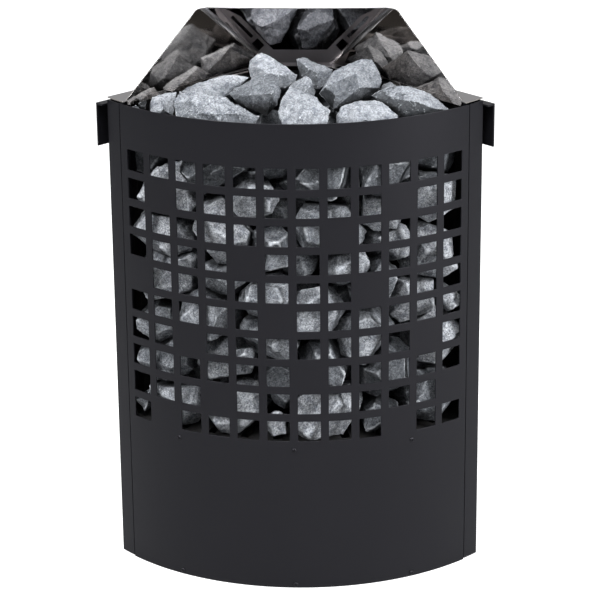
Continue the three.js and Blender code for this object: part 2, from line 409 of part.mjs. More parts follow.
// ---- top stones: the heap in view, corner points in mm from the bow's axis and the rim ----
const TOP_STONES = {
  top_stone_01: [
    [-154.7, -182.8, -14.4], [-153.5, -185.2, -13.5], [-153.3, -185.3, -11.8], [-150.2, -173.9, -23.8], [-146.6, -187.9, -16], [-155.7, -178.8, -5.5],
    [-156.2, -177.5, -4.6], [-157.6, -175.1, -7.4], [-157.3, -175, -3.7], [-142.5, -181.4, 2], [-154, -165.8, -17], [-152.2, -163.8, -21.9],
    [-151.1, -162.6, -24], [-154.2, -166, -9.6], [-148.5, -159.8, -24.1], [-142.5, -153.4, -22.6], [-152.7, -164.4, -1.9], [-154, -168.6, 2.4],
    [-151.1, -162.6, -0.2], [-145.8, -165.1, 5.8], [-144.3, -155.3, -0.9], [-141.2, -176.7, -21.4], [-127.3, -186.2, -14.4], [-138.4, -191.4, -5.1],
    [-129.4, -173.4, -2.2], [-136.9, -163.4, -24.2], [-140.3, -151.1, -16.8], [-138.2, -148.9, -9.9], [-137.2, -149.6, -10.5], [-125.5, -161, -14],
    [-138.3, -148.9, -4.1], [-133.4, -165.5, 5.4], [-126, -158, 5.2]
  ],
  top_stone_02: [
    [-124, -212.4, -7.8], [-104, -219, -12.4], [-101.2, -204.2, -23.1], [-129.8, -194.2, 5.3], [-110.3, -200.1, 9.7], [-92.6, -221.4, -0.7],
    [-116.2, -172.6, -5.9], [-103.2, -184.5, -22.3], [-123.5, -186.9, 10.5], [-106.9, -183.5, 13], [-84.2, -185.5, 11.6], [-101.4, -159.4, -3.6],
    [-75.9, -224.5, -16.1], [-73.8, -209, -22.7], [-51, -226.7, -17.6], [-38.8, -223.4, -15.3], [-33.8, -211.3, -6.8], [-75.6, -207.4, 7.4],
    [-49.5, -217.6, -1.7], [-46.8, -201.3, 0.3], [-77.1, -177, -21.4], [-58.9, -192.2, -24.2], [-74.6, -166.4, -6], [-52.8, -171.8, -15.7],
    [-67, -191.3, 7.4]
  ],
  top_stone_03: [
    [-120.8, -132.8, -8.7], [-92, -133.3, -22.1], [-129.2, -141.9, -1.2], [-126.1, -137.4, -2.4], [-120.3, -132.5, 4.1], [-108.6, -151.5, -5.3],
    [-104.6, -118.9, -21.8], [-93, -109, -23.3], [-70.3, -126.3, -22.6], [-84.5, -153.1, -5.9], [-88.7, -139.1, 4.8], [-68.8, -141, -3.1],
    [-57.9, -128.3, 3.2], [-85.1, -102.2, -23.8], [-71.1, -105.8, -24.1], [-81.4, -114.1, 11.1], [-86.6, -103.5, 1.7], [-75.6, -94.1, 0.6],
    [-67.1, -112, 12], [-50.6, -116.5, 10], [-67.4, -98.7, -5]
  ],
  top_stone_04: [
    [-66.6, -158, -3.9], [-46.1, -168.5, -14], [-54.9, -143.3, -23.6], [-73.3, -152, 1.9], [-64.4, -146.6, 7.3], [-48.5, -165.5, 3.3],
    [-59.3, -123.4, -7], [-47.5, -127.1, -21.3], [-46.2, -138.3, 15.5], [-46.3, -112.4, 0.5], [-29.2, -173.5, -18.7], [-42.2, -155.6, -22.5],
    [-18.4, -163, -8.7], [-27, -147, -22.7], [-36.3, -149.1, 14.5], [-24.6, -165.7, 5.6], [-14.2, -150.7, 3.3], [-30.3, -129.3, -24.2],
    [-27.9, -122.4, -14.1], [-29.6, -133.9, 19.9], [-17.7, -135.6, 18.2], [-27, -114.5, 3]
  ],
  top_stone_05: [
    [-38.7, -109.3, -3.4], [-39.7, -94.2, -21.6], [-52.7, -99.3, 5.4], [-43.4, -100.9, 17.4], [-55.8, -90.6, 13.2], [-54.7, -84.5, 18.7],
    [-34.1, -108.8, 12.6], [-45.4, -76, -21.8], [-32.5, -64, -23.5], [-48.7, -68.9, 6.8], [-48.1, -77.6, 24.9], [-43.4, -63.6, 13.4],
    [-41.2, -76.1, 26.3], [-31.6, -79.2, 23.5], [-33.3, -53.5, 8.4], [-23.2, -93.5, -23.8], [-12.3, -111.3, -5.1], [-0.5, -104.4, 1],
    [-17.3, -110.8, 10.9], [0.2, -97.5, 7.1], [-11.3, -89.9, 13.9], [-18.8, -74.8, -24.2], [-12.1, -69.7, -2], [-19.6, -55, 3.5]
  ],
  top_stone_06: [
    [-3.2, -161, -5.9], [2.2, -145.2, -22.9], [-12.2, -152, 1.7], [-4.2, -141.1, 11], [-6.9, -121.4, -4.8], [-2.5, -132.1, -21.5],
    [4.8, -121.8, -24], [12.4, -143, -23.8], [18.5, -160, -5], [7.4, -148.7, 12.1], [22.9, -150.3, 3.2], [16.8, -138, 13.7],
    [14, -128.5, -24.2], [16.6, -118.3, -4.6], [10.8, -133.8, 17.4], [8.6, -111, 3.8]
  ],
  top_stone_07: [
    [-9.7, -238, -15.1], [4.2, -218.3, -24.1], [-18.3, -213.8, -0.4], [-16, -204.4, 5.5], [8.2, -236.6, -0.4], [-3.2, -211.6, 9.8],
    [-6.4, -201.2, -23.5], [-10.5, -179, -9.8], [3, -183, -21.5], [-5.6, -184, 18.5], [5.7, -187.2, 16.5], [-1.7, -165.1, 1.5],
    [24.8, -239.2, -15.8], [20.2, -210.6, -23.6], [37.2, -230.8, -10.7], [20.3, -220.3, 7.9], [39.7, -213.8, -0.3], [19.4, -188.8, -24.2],
    [19, -169.9, -3.6], [26.9, -188.1, -15.7], [25.5, -196.6, 10.5]
  ],
  top_stone_08: [
    [13.5, -100.5, -5.8], [8, -84.3, -23.2], [3.1, -90.5, 3.1], [-1.3, -81.5, 11.2], [8.8, -88.2, 14.1], [3.7, -67.1, -22.1],
    [13.6, -55.9, -21.5], [-3.2, -73.4, 18.5], [5.5, -71.1, 20.6], [1.8, -49.7, 3.7], [2.9, -49.7, -0.8], [16, -49.7, 4],
    [23.4, -103.5, -8.4], [20.5, -83.7, -24.1], [21.3, -95.2, 9], [37, -94.5, -0.4], [39.4, -83.4, 9.5], [24, -66.1, -24.2],
    [28.8, -58.3, -5.9]
  ],
  top_stone_09: [
    [39.9, -171.1, -11.9], [24.4, -154.6, 1.9], [50.1, -168.1, -9.4], [49.2, -168.7, -4.1], [42.6, -167.6, 4], [47.2, -146.5, -24],
    [31.1, -157.9, 10.8], [30.3, -144.8, 10.3], [35.5, -106.3, -7.2], [43.9, -121.7, -22.1], [41, -131, 22.2], [46.9, -102.1, 6.7],
    [71.3, -158.6, -1.4], [67.4, -150.4, -24.1], [72.5, -161.8, 9.3], [69.6, -163.5, 11.8], [65.6, -151.3, 24.8], [92, -149.1, 6.7],
    [94, -141.7, 13], [76.6, -128, -24.2], [62.1, -110.3, -22.8], [82.6, -101.8, -0.2], [71.4, -119.5, 32.3], [74.2, -92.9, 10.7],
    [81.5, -121, 31], [88.2, -129.4, 23.6]
  ],
  top_stone_10: [
    [55.1, -224.6, -20.1], [44.7, -218.6, -16.5], [58.5, -197.2, -23.1], [73.7, -209.8, -23.8], [42.6, -203.2, -6.9], [46.6, -194.8, -1.6],
    [76, -222.4, -6.6], [60.3, -203.4, 0.8], [53.6, -175, -15.9], [66.6, -179.8, -23.2], [68.3, -159.9, -11.7], [64.5, -186.3, 3.8],
    [94.7, -223.4, -19.3], [91.3, -200.2, -23.6], [110.4, -216.3, -14.9], [87.5, -204.4, 1.1], [112.1, -205.6, -8.3], [86.9, -181.6, -24.1],
    [93.2, -169.7, -11.5], [99.1, -184.9, -19.6], [85.3, -184.8, 4.8], [101.8, -191.7, 0.4]
  ],
  top_stone_11: [
    [118.2, -194.7, -18], [118.7, -193.3, -6.3], [109.9, -173.2, -21.8], [80.3, -168, 3.9], [90.2, -161.6, 9.3], [105.3, -178.5, 3.7],
    [95.9, -139.1, -8.3], [109.3, -151.9, -23.7], [123, -132.5, -13.8], [113.9, -122.8, -6.7], [114.5, -123.4, -5.6], [107, -157.3, 13],
    [117.1, -126.2, -5.1], [133.6, -192.7, -16.3], [134.5, -179.3, -23.5], [154.8, -187.7, -12.3], [167.6, -182.3, -7.8], [149.1, -161.8, -24],
    [148.7, -160.1, -23], [160.3, -172.4, -8], [163.4, -175.8, -9.6], [132.6, -186.3, 1.6], [126.6, -159, 11.5], [151.6, -188.4, -4.4],
    [149, -160.4, -4.3], [158.2, -174.6, -1.4], [146.1, -165.5, 6.1], [133.5, -144.8, -22.6], [135, -145.3, -21.9], [139.6, -150.3, -1.9]
  ],
  top_stone_12: [
    [93, -128, -24.2], [94, -119, -24.2], [88.5, -114.1, -4.2], [91, -98.3, -11.7], [94.4, -101.8, -24.1], [93, -106.9, 0.7],
    [90.3, -97.5, -8.6], [91.3, -98.6, -5.7], [92.4, -99.7, -3.3], [104, -128, -24.2], [101.6, -123.7, -10.7], [111.1, -119.8, -10.8],
    [101.7, -117.5, -0.9], [108, -116.5, 2.3], [100.8, -108.8, -24.2], [103.2, -111.3, -24.2], [104.3, -112.5, -23.7], [102, -110.1, 4.5]
  ],
  top_stone_13: [
    [-170.4, -195.9, -3.5], [-171.8, -190.2, -24.2], [-168.3, -185.3, -24.2], [-173.6, -189.9, -2], [-168.3, -183.8, -1.5], [-167.6, -195.9, -24.2],
    [-161.9, -194.5, -24.2], [-161.9, -197.3, -5], [-163, -189.9, -2.5]
  ],
  top_stone_14: [
    [-165.5, -181, -24.2], [-164.8, -184.6, -2], [-167.2, -180.7, -0.5], [-159.8, -185.3, -24.2], [-156.9, -181.4, -24.2], [-156.2, -181.6, -17.9],
    [-157.7, -186, -4], [-160.2, -175, -24.2], [-159.4, -175.3, -19.9], [-160.4, -173.4, 0], [-155.9, -178.2, 0.7], [-156.3, -177, 1.4],
    [-157, -175.8, 1.1]
  ],
};
for (const [name, points] of Object.entries(TOP_STONES)) {
  const g = new ConvexGeometry(points.map(([x, y, z]) => new THREE.Vector3(x, y, z)));
  piece(name, g, finish.stone()).position.z = CASING_H;
}

// ---- connection space ----
{
  // terminal block with four upright barriers
  const w = 40, top = 24, groove = 14, profile = [[-w, 0], [w, 0], [w, 10]];
  const outline = [[-w, 0], [w, 0], [w, 9], [28, 9], [28, top], [24, top], [24, groove], [10, groove], [10, top], [6, top], [6, groove], [-6, groove], [-6, top], [-10, top], [-10, groove], [-24, groove], [-24, top], [-28, top], [-28, 9], [-w, 9]];
  const shape = new THREE.Shape(outline.map(([a, b]) => new THREE.Vector2(a, b)));
  const g = new THREE.ExtrudeGeometry(shape, { depth: 22, bevelEnabled: false });
  g.rotateX(Math.PI / 2);
  g.translate(BLOCK[0], BLOCK[1] + 11, BASE_Z + 0.3);
  const screws = [-34, 34].map((x) => [BLOCK[0] + x, BLOCK[1]]);
  piece('terminal_block', cut(g, ...screws.map(([x, y]) => cylinderAlong(2.3, 40, [x, y, BASE_Z + 5], [0, 0, 1], 10))), finish.ceramic());
  screws.forEach(([x, y], i) => {
    const profile2 = [[0, -13], [1.9, -13], [1.9, 0], [3.6, 0], [3.5, 0.9], [2.6, 1.9], [0, 2.2]];
    const s = new THREE.LatheGeometry(profile2.map(([r, h]) => new THREE.Vector2(r, h)), 10);
    s.rotateX(Math.PI / 2);
    piece('terminal_block_screw_' + (i + 1), s, finish.zinc()).position.set(x, y, BASE_Z + 0.3 + 9 + 0.3);
  });

  // three leads up to the first leg of each hairpin
  const from = [[-17, -144], [0, -144], [17, -144]];
  const ends = [legs[2], legs[0], legs[5]];
  ends.forEach(([x, y], i) => {
    const [ax, ay] = from[i], z0 = BASE_Z + 0.3 + 14 + 0.3, z1 = ELEMENT_FOOT - 0.4;
    const path = new THREE.CatmullRomCurve3([
      new THREE.Vector3(ax, ay, z0), new THREE.Vector3(ax, ay, z0 + 10), new THREE.Vector3(ax + (x - ax) * 0.3, ay + (y - ay) * 0.3, z0 + 22),
      new THREE.Vector3(ax + (x - ax) * 0.8, ay + (y - ay) * 0.8, z1 - 20), new THREE.Vector3(x, y, z1 - 9), new THREE.Vector3(x, y, z1),
    ]);
    piece('lead_wire_' + (i + 1), new THREE.ExtrudeGeometry(roundShape(1.6, 8), { steps: 16, extrudePath: path, bevelEnabled: false }), finish.lead());
  });

  // link bar under the other legs
  const line = [legs[3], legs[1], legs[4]];
  const wide = 5, outA = [], outB = [];
  line.forEach(([x, y], i) => {
    const p = line[Math.max(0, i - 1)], q = line[Math.min(2, i + 1)];
    const len = Math.hypot(q[0] - p[0], q[1] - p[1]), dx = (q[0] - p[0]) / len, dy = (q[1] - p[1]) / len;
    const ex = i === 0 ? -7 : i === 2 ? 7 : 0;
    outA.push([x + dx * ex - dy * wide, y + dy * ex + dx * wide]);
    outB.unshift([x + dx * ex + dy * wide, y + dy * ex - dx * wide]);
  });
  piece('link_bar', slab([...outA, ...outB].reverse(), ELEMENT_FOOT - 2, ELEMENT_FOOT - 0.4), finish.brass());

  // earth stud with its nut
  const stud = new THREE.LatheGeometry([[0, -8], [3, -8], [3, 16], [0, 16]].map(([r, h]) => new THREE.Vector2(r, h)), 10);
  stud.rotateX(Math.PI / 2);
  const nut = slab(circle(0, 0, 6.4, 6), 0.3, 5.3);
  piece('earth_stud', join(stud, nut), finish.brass()).position.set(...EARTH, BASE_Z);

  // cable gland: body through the base plate, cap below, locknut above
  const ring = (pts, n = 16) => {
    const g = new THREE.LatheGeometry([...pts, pts[0]].map(([r, h]) => new THREE.Vector2(r, h)), n);
    g.rotateX(Math.PI / 2);
    return g;
  };
  const under = BASE_Z - SHEET - 0.3;
  const body = ring([[5.5, -17], [8, -17], [8, -7], [12.5, -7], [12.5, 0], [9.9, 0], [9.9, 10], [5.5, 10]]);
  piece('cable_gland_body', body, finish.gland()).position.set(...GLAND, under);
  const cap = ring([[5.5, -20.5], [9, -20.5], [11.5, -17.5], [11.5, -7.4], [8.4, -7.4], [8.4, -17.4], [5.5, -17.4]]);
  piece('cable_gland_cap', cap, finish.gland()).position.set(...GLAND, under);
  const lock = slab(circle(0, 0, 14, 6), BASE_Z + 0.3, BASE_Z + 5.3, [circle(0, 0, 10.3, 16)]);
  piece('gland_locknut', lock, finish.gland()).position.set(...GLAND, 0);
}

// ---- wall brackets: a plate on each wall with a shelf on which the hanging tabs lie ----
{
  const u0 = 120, u1 = 271, k1 = WALL_K, t = 2;
  const profile = [[k1, BRACKET_TOP - BRACKET_H], [k1, BRACKET_TOP], [SIDE_K + 0.8, BRACKET_TOP], [SIDE_K + 0.8, BRACKET_TOP - t], [k1 - t, BRACKET_TOP - t], [k1 - t, BRACKET_TOP - BRACKET_H]];
  const make = (sign) => {
    const dirK = new THREE.Vector3(-S * sign, S, 0), dirU = new THREE.Vector3(-S * sign, -S, 0);
    const shape = new THREE.Shape(profile.map(([k, z]) => new THREE.Vector2(k, z)));
    const g = new THREE.ExtrudeGeometry(shape, { depth: u1 - u0, bevelEnabled: false });
    // a right-handed basis: k, z, then along the wall
    const along = new THREE.Vector3().crossVectors(dirK, new THREE.Vector3(0, 0, 1));
    const m = new THREE.Matrix4().makeBasis(dirK, new THREE.Vector3(0, 0, 1), along);
    const start = along.dot(dirU) > 0 ? u0 : u1;
    m.setPosition(dirU.x * start, dirU.y * start, 0);
    const body = moved(g, m);
    const holes = [150, 241].map((u) => cylinderAlong(3, 12, [dirU.x * u + dirK.x * k1, dirU.y * u + dirK.y * k1, BRACKET_TOP - 26], [dirK.x, dirK.y, 0], 12));
    return cut(body, ...holes);
  };
  piece('left_wall_bracket', make(1), finish.black());
  piece('right_wall_bracket', make(-1), finish.black());
}

export default heater;
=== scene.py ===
# A wall-hung corner sauna heater: black grille casing full of split stones, with a dark mirror reflector behind the heap.
# Metres, in the CAD frame: +Z up, the grille faces -Y.
import bpy, bmesh, math
import numpy as np
from mathutils import Matrix, Vector


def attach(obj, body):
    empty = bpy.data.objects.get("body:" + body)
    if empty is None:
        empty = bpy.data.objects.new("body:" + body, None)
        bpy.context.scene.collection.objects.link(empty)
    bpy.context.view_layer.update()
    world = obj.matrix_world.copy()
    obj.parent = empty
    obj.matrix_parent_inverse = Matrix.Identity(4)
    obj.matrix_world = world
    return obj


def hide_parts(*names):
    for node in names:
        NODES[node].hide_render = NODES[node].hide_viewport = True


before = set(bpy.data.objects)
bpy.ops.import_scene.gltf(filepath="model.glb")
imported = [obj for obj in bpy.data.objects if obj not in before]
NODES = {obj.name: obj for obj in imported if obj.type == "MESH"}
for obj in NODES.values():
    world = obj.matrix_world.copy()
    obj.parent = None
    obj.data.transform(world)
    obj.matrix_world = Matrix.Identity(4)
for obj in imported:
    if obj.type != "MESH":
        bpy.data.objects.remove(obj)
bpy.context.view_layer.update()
scene = bpy.context.scene
MM = 0.001
RAD = math.pi / 180
S = math.sqrt(0.5)
AXIS_Y = 143.7      # the bow's axis, mm
CASING_R, SHEET, CASING_H = 265.0, 1.5, 531.0

# ------------------------------------------------------------------ camera
def make_camera():
    cx, cy, cz, yaw, pitch, roll, f = 125.74, -2699.7, 1297.0, -2.619, 20.379, -0.582, 2607.0
    y, p, r = yaw * RAD, pitch * RAD, roll * RAD
    ahead = Vector((math.sin(y), math.cos(y), 0))
    side = Vector((math.cos(y), -math.sin(y), 0))
    up = Vector((0, 0, 1))
    fwd = ahead * math.cos(p) - up * math.sin(p)
    u = ahead * math.sin(p) + up * math.cos(p)
    right = side * math.cos(r) + u * math.sin(r)
    u = u * math.cos(r) - side * math.sin(r)
    data = bpy.data.cameras.new("camera")
    data.sensor_width = 36
    data.sensor_fit = "HORIZONTAL"
    data.lens = f / 600 * 36
    data.clip_start, data.clip_end = 0.05, 60
    ob = bpy.data.objects.new("camera", data)
    scene.collection.objects.link(ob)
    m = Matrix.Identity(4)
    for i, axis in enumerate((right, u, -fwd)):
        for j in range(3):
            m[j][i] = axis[j]
    m[0][3], m[1][3], m[2][3] = cx * MM, cy * MM, cz * MM
    ob.matrix_world = m
    scene.camera = ob

make_camera()

# ------------------------------------------------------------------ node helpers
class Tree:
    """A short way to write a shader: each call adds a node and returns it."""
    def __init__(self, name):
        self.mat = bpy.data.materials.new(name)
        self.mat.use_nodes = True
        self.nt = self.mat.node_tree
        self.nt.nodes.clear()
        self.out = self.nt.nodes.new("ShaderNodeOutputMaterial")
        self.bsdf = self.nt.nodes.new("ShaderNodeBsdfPrincipled")
        self.nt.links.new(self.bsdf.outputs[0], self.out.inputs["Surface"])
        self.coord = self.nt.nodes.new("ShaderNodeTexCoord").outputs["Object"]

    def add(self, kind, **props):
        n = self.nt.nodes.new("ShaderNode" + kind)
        for k, v in props.items():
            setattr(n, k, v)
        return n

    def put(self, socket, value):
        if isinstance(value, bpy.types.NodeSocket):
            self.nt.links.new(value, socket)
        else:
            socket.default_value = value

    def set(self, **values):
        for k, v in values.items():
            self.put(self.bsdf.inputs[k.replace("_", " ")], v)

    def scaled(self, sx, sy, sz, rot=(0, 0, 0)):
        n = self.add("Mapping")
        self.put(n.inputs["Vector"], self.coord)
        n.inputs["Scale"].default_value = (sx, sy, sz)
        n.inputs["Rotation"].default_value = rot
        return n.outputs[0]

    def noise(self, size_mm, detail=3.0, rough=0.55, vector=None, distortion=0.0):
        n = self.add("TexNoise")
        self.put(n.inputs["Vector"], vector or self.coord)
        n.inputs["Scale"].default_value = 1000.0 / size_mm
        n.inputs["Detail"].default_value = detail
        n.inputs["Roughness"].default_value = rough
        n.inputs["Distortion"].default_value = distortion
        return n.outputs["Fac"]

    def cells(self, size_mm, feature="F1", vector=None, out="Distance", rand=1.0):
        n = self.add("TexVoronoi", feature=feature)
        self.put(n.inputs["Vector"], vector or self.coord)
        n.inputs["Scale"].default_value = 1000.0 / size_mm
        n.inputs["Randomness"].default_value = rand
        return n.outputs[out]

    def ramp(self, fac, *stops):
        n = self.add("ValToRGB")
        e = n.color_ramp.elements
        while len(e) < len(stops):
            e.new(0.5)
        for el, (pos, c) in zip(e, stops):
            el.position = pos
            el.color = (*c, 1) if len(c) == 3 else c
        self.put(n.inputs["Fac"], fac)
        return n.outputs["Color"]

    def span(self, value, a, b, c, d):
        n = self.add("MapRange", clamp=True)
        self.put(n.inputs["Value"], value)
        for k, v in zip(("From Min", "From Max", "To Min", "To Max"), (a, b, c, d)):
            n.inputs[k].default_value = v
        return n.outputs["Result"]

    def math(self, op, a, b=0.0):
        n = self.add("Math", operation=op)
        self.put(n.inputs[0], a)
        self.put(n.inputs[1], b)
        return n.outputs[0]

    def mix(self, fac, a, b, blend="MIX"):
        n = self.add("Mix", data_type="RGBA", blend_type=blend)
        self.put(n.inputs["Factor"], fac)
        self.put(n.inputs["A"], a if isinstance(a, bpy.types.NodeSocket) else (*a, 1))
        self.put(n.inputs["B"], b if isinstance(b, bpy.types.NodeSocket) else (*b, 1))
        return n.outputs["Result"]

    def attr(self, name):
        return self.add("Attribute", attribute_name=name).outputs["Fac"]

    def bump(self, height, strength, distance_mm, after=None):
        n = self.add("Bump")
        self.put(n.inputs["Strength"], strength)
        n.inputs["Distance"].default_value = distance_mm * MM
        self.put(n.inputs["Height"], height)
        if after is not None:
            self.put(n.inputs["Normal"], after)
        return n.outputs["Normal"]


# ------------------------------------------------------------------ materials
def coat_black():
    t = Tree("black_coat")
    cloud = t.noise(90, 2)
    grain = t.noise(1.1, 2, 0.6)
    t.set(Base_Color=t.mix(cloud, (0.0052, 0.0051, 0.0064), (0.0072, 0.0070, 0.0086)),
          Roughness=t.span(t.noise(2.2, 3), 0.3, 0.7, 0.32, 0.41),
          Normal=t.bump(grain, 0.08, 0.06))
    t.bsdf.inputs["Specular IOR Level"].default_value = 0.31
    t.bsdf.inputs["Specular Tint"].default_value = (0.95, 0.92, 1.0, 1.0)
    return t.mat


def coat_inner():
    t = Tree("black_coat_sooted")
    cloud = t.noise(40, 4)
    t.set(Base_Color=t.mix(cloud, (0.008, 0.008, 0.009), (0.022, 0.020, 0.019)),
          Roughness=t.span(t.noise(6, 3), 0.3, 0.7, 0.5, 0.7),
          Normal=t.bump(t.noise(1.3, 2), 0.1, 0.08))
    return t.mat


def dark_mirror():
    t = Tree("dark_mirror")
    streak = t.noise(30, 3, 0.6, t.scaled(1, 1, 14))
    wipe = t.noise(60, 3)
    way = t.add("SeparateXYZ")
    t.put(way.inputs[0], t.add("NewGeometry").outputs["Normal"])
    aside = t.span(t.math("ABSOLUTE", way.outputs["X"]), 0.15, 0.6, 0, 1)
    up = t.span(way.outputs["Z"], 0.8, 0.95, 0, 1)
    across = t.math("ABSOLUTE", way.outputs["X"])
    fold = t.math("MULTIPLY", t.span(across, 0.06, 0.22, 0, 1), t.span(across, 0.68, 0.52, 0, 1))
    # painted reflection: the facets turned sideways get a warmer tint than the back one
    tint = t.mix(aside, (0.475, 0.460, 0.468), (0.505, 0.466, 0.436))
    # painted shade: darkened along the foot behind the heap, and on the ledge there
    spot = t.add("SeparateXYZ")
    t.put(spot.inputs[0], t.coord)
    foot = t.math("MULTIPLY", t.span(spot.outputs["Z"], 0.546, 0.538, 0, 1), t.span(spot.outputs["Y"], 0.030, 0.045, 0, 1))
    foot = t.math("MULTIPLY", foot, t.math("MAXIMUM", t.span(t.math("ABSOLUTE", spot.outputs["X"]), 0.036, 0.050, 0.1, 1), fold))
    tint = t.mix(foot, tint, (0.150, 0.140, 0.142))
    t.set(Base_Color=t.mix(wipe, tint, t.mix(1.0, tint, (1.12, 1.12, 1.12), "MULTIPLY")),
          Roughness=t.math("ADD", t.span(t.math("MULTIPLY", streak, wipe), 0.1, 0.5, 0.03, 0.075), t.math("ADD", t.math("MULTIPLY", up, 0.26), t.math("MULTIPLY", fold, 0.20))),
          Normal=t.bump(t.noise(55, 1), 0.02, 0.35))
    t.bsdf.inputs["Metallic"].default_value = 1.0
    return t.mat


def zinc():
    t = Tree("zinc_sheet")
    spangle = t.cells(9, out="Color")
    grey = t.add("RGBToBW")
    t.put(grey.inputs[0], spangle)
    tint = t.ramp(grey.outputs[0], (0.0, (0.30, 0.31, 0.32)), (0.5, (0.42, 0.43, 0.44)), (1.0, (0.55, 0.56, 0.57)))
    heat = t.noise(60, 3)
    t.set(Base_Color=t.mix(t.span(heat, 0.5, 0.75, 0, 0.45), tint, (0.30, 0.25, 0.19)),
          Roughness=t.span(grey.outputs[0], 0, 1, 0.32, 0.5),
          Normal=t.bump(t.noise(3, 2), 0.06, 0.1))
    t.bsdf.inputs["Metallic"].default_value = 1.0
    return t.mat


def scorched():
    t = Tree("scorched_steel")
    heat = t.noise(45, 4, 0.6)
    streak = t.noise(24, 3, 0.6, t.scaled(1, 1, 0.12))
    t.set(Base_Color=t.mix(t.span(streak, 0.4, 0.7, 0, 0.5), t.ramp(heat, (0.3, (0.050, 0.050, 0.056)), (0.55, (0.085, 0.078, 0.074)), (0.75, (0.060, 0.066, 0.085))), (0.12, 0.11, 0.105)),
          Roughness=t.span(streak, 0.3, 0.7, 0.34, 0.52),
          Normal=t.bump(t.noise(4, 2), 0.06, 0.1))
    t.bsdf.inputs["Metallic"].default_value = 1.0
    return t.mat


def sheath():
    t = Tree("element_sheath")
    scale = t.noise(7, 4)
    t.set(Base_Color=t.ramp(scale, (0.3, (0.055, 0.05, 0.045)), (0.55, (0.12, 0.105, 0.09)), (0.75, (0.20, 0.175, 0.15))),
          Roughness=t.span(scale, 0.3, 0.7, 0.42, 0.68),
          Normal=t.bump(t.noise(1.2, 3), 0.2, 0.12))
    t.bsdf.inputs["Metallic"].default_value = 0.85
    return t.mat


def brass():
    t = Tree("brass")
    tarnish = t.noise(8, 4)
    t.set(Base_Color=t.ramp(tarnish, (0.35, (0.56, 0.40, 0.16)), (0.7, (0.36, 0.25, 0.11))),
          Roughness=t.span(tarnish, 0.3, 0.7, 0.25, 0.45))
    t.bsdf.inputs["Metallic"].default_value = 1.0
    return t.mat


def ceramic():
    t = Tree("ceramic")
    fleck = t.noise(2.5, 3)
    t.set(Base_Color=t.ramp(fleck, (0.3, (0.70, 0.66, 0.58)), (0.6, (0.80, 0.77, 0.70))),
          Roughness=t.span(t.noise(5, 2), 0.3, 0.7, 0.4, 0.6),
          Normal=t.bump(t.noise(0.9, 2), 0.12, 0.08))
    return t.mat


def sleeve():
    t = Tree("lead_sleeve")
    w = t.add("TexWave", wave_type="BANDS", bands_direction="DIAGONAL")
    t.put(w.inputs["Vector"], t.coord)
    w.inputs["Scale"].default_value = 420
    w.inputs["Distortion"].default_value = 1.5
    t.set(Base_Color=t.ramp(w.outputs["Fac"], (0.2, (0.42, 0.38, 0.30)), (0.8, (0.66, 0.61, 0.51))),
          Roughness=t.span(w.outputs["Fac"], 0, 1, 0.7, 0.9),
          Normal=t.bump(w.outputs["Fac"], 0.5, 0.25))
    return t.mat


def gland_plastic():
    t = Tree("gland_plastic")
    t.set(Base_Color=t.mix(t.noise(12, 3), (0.014, 0.014, 0.015), (0.024, 0.024, 0.026)),
          Roughness=t.span(t.noise(1.2, 2), 0.3, 0.7, 0.46, 0.6),
          Normal=t.bump(t.noise(0.6, 2), 0.15, 0.05))
    return t.mat


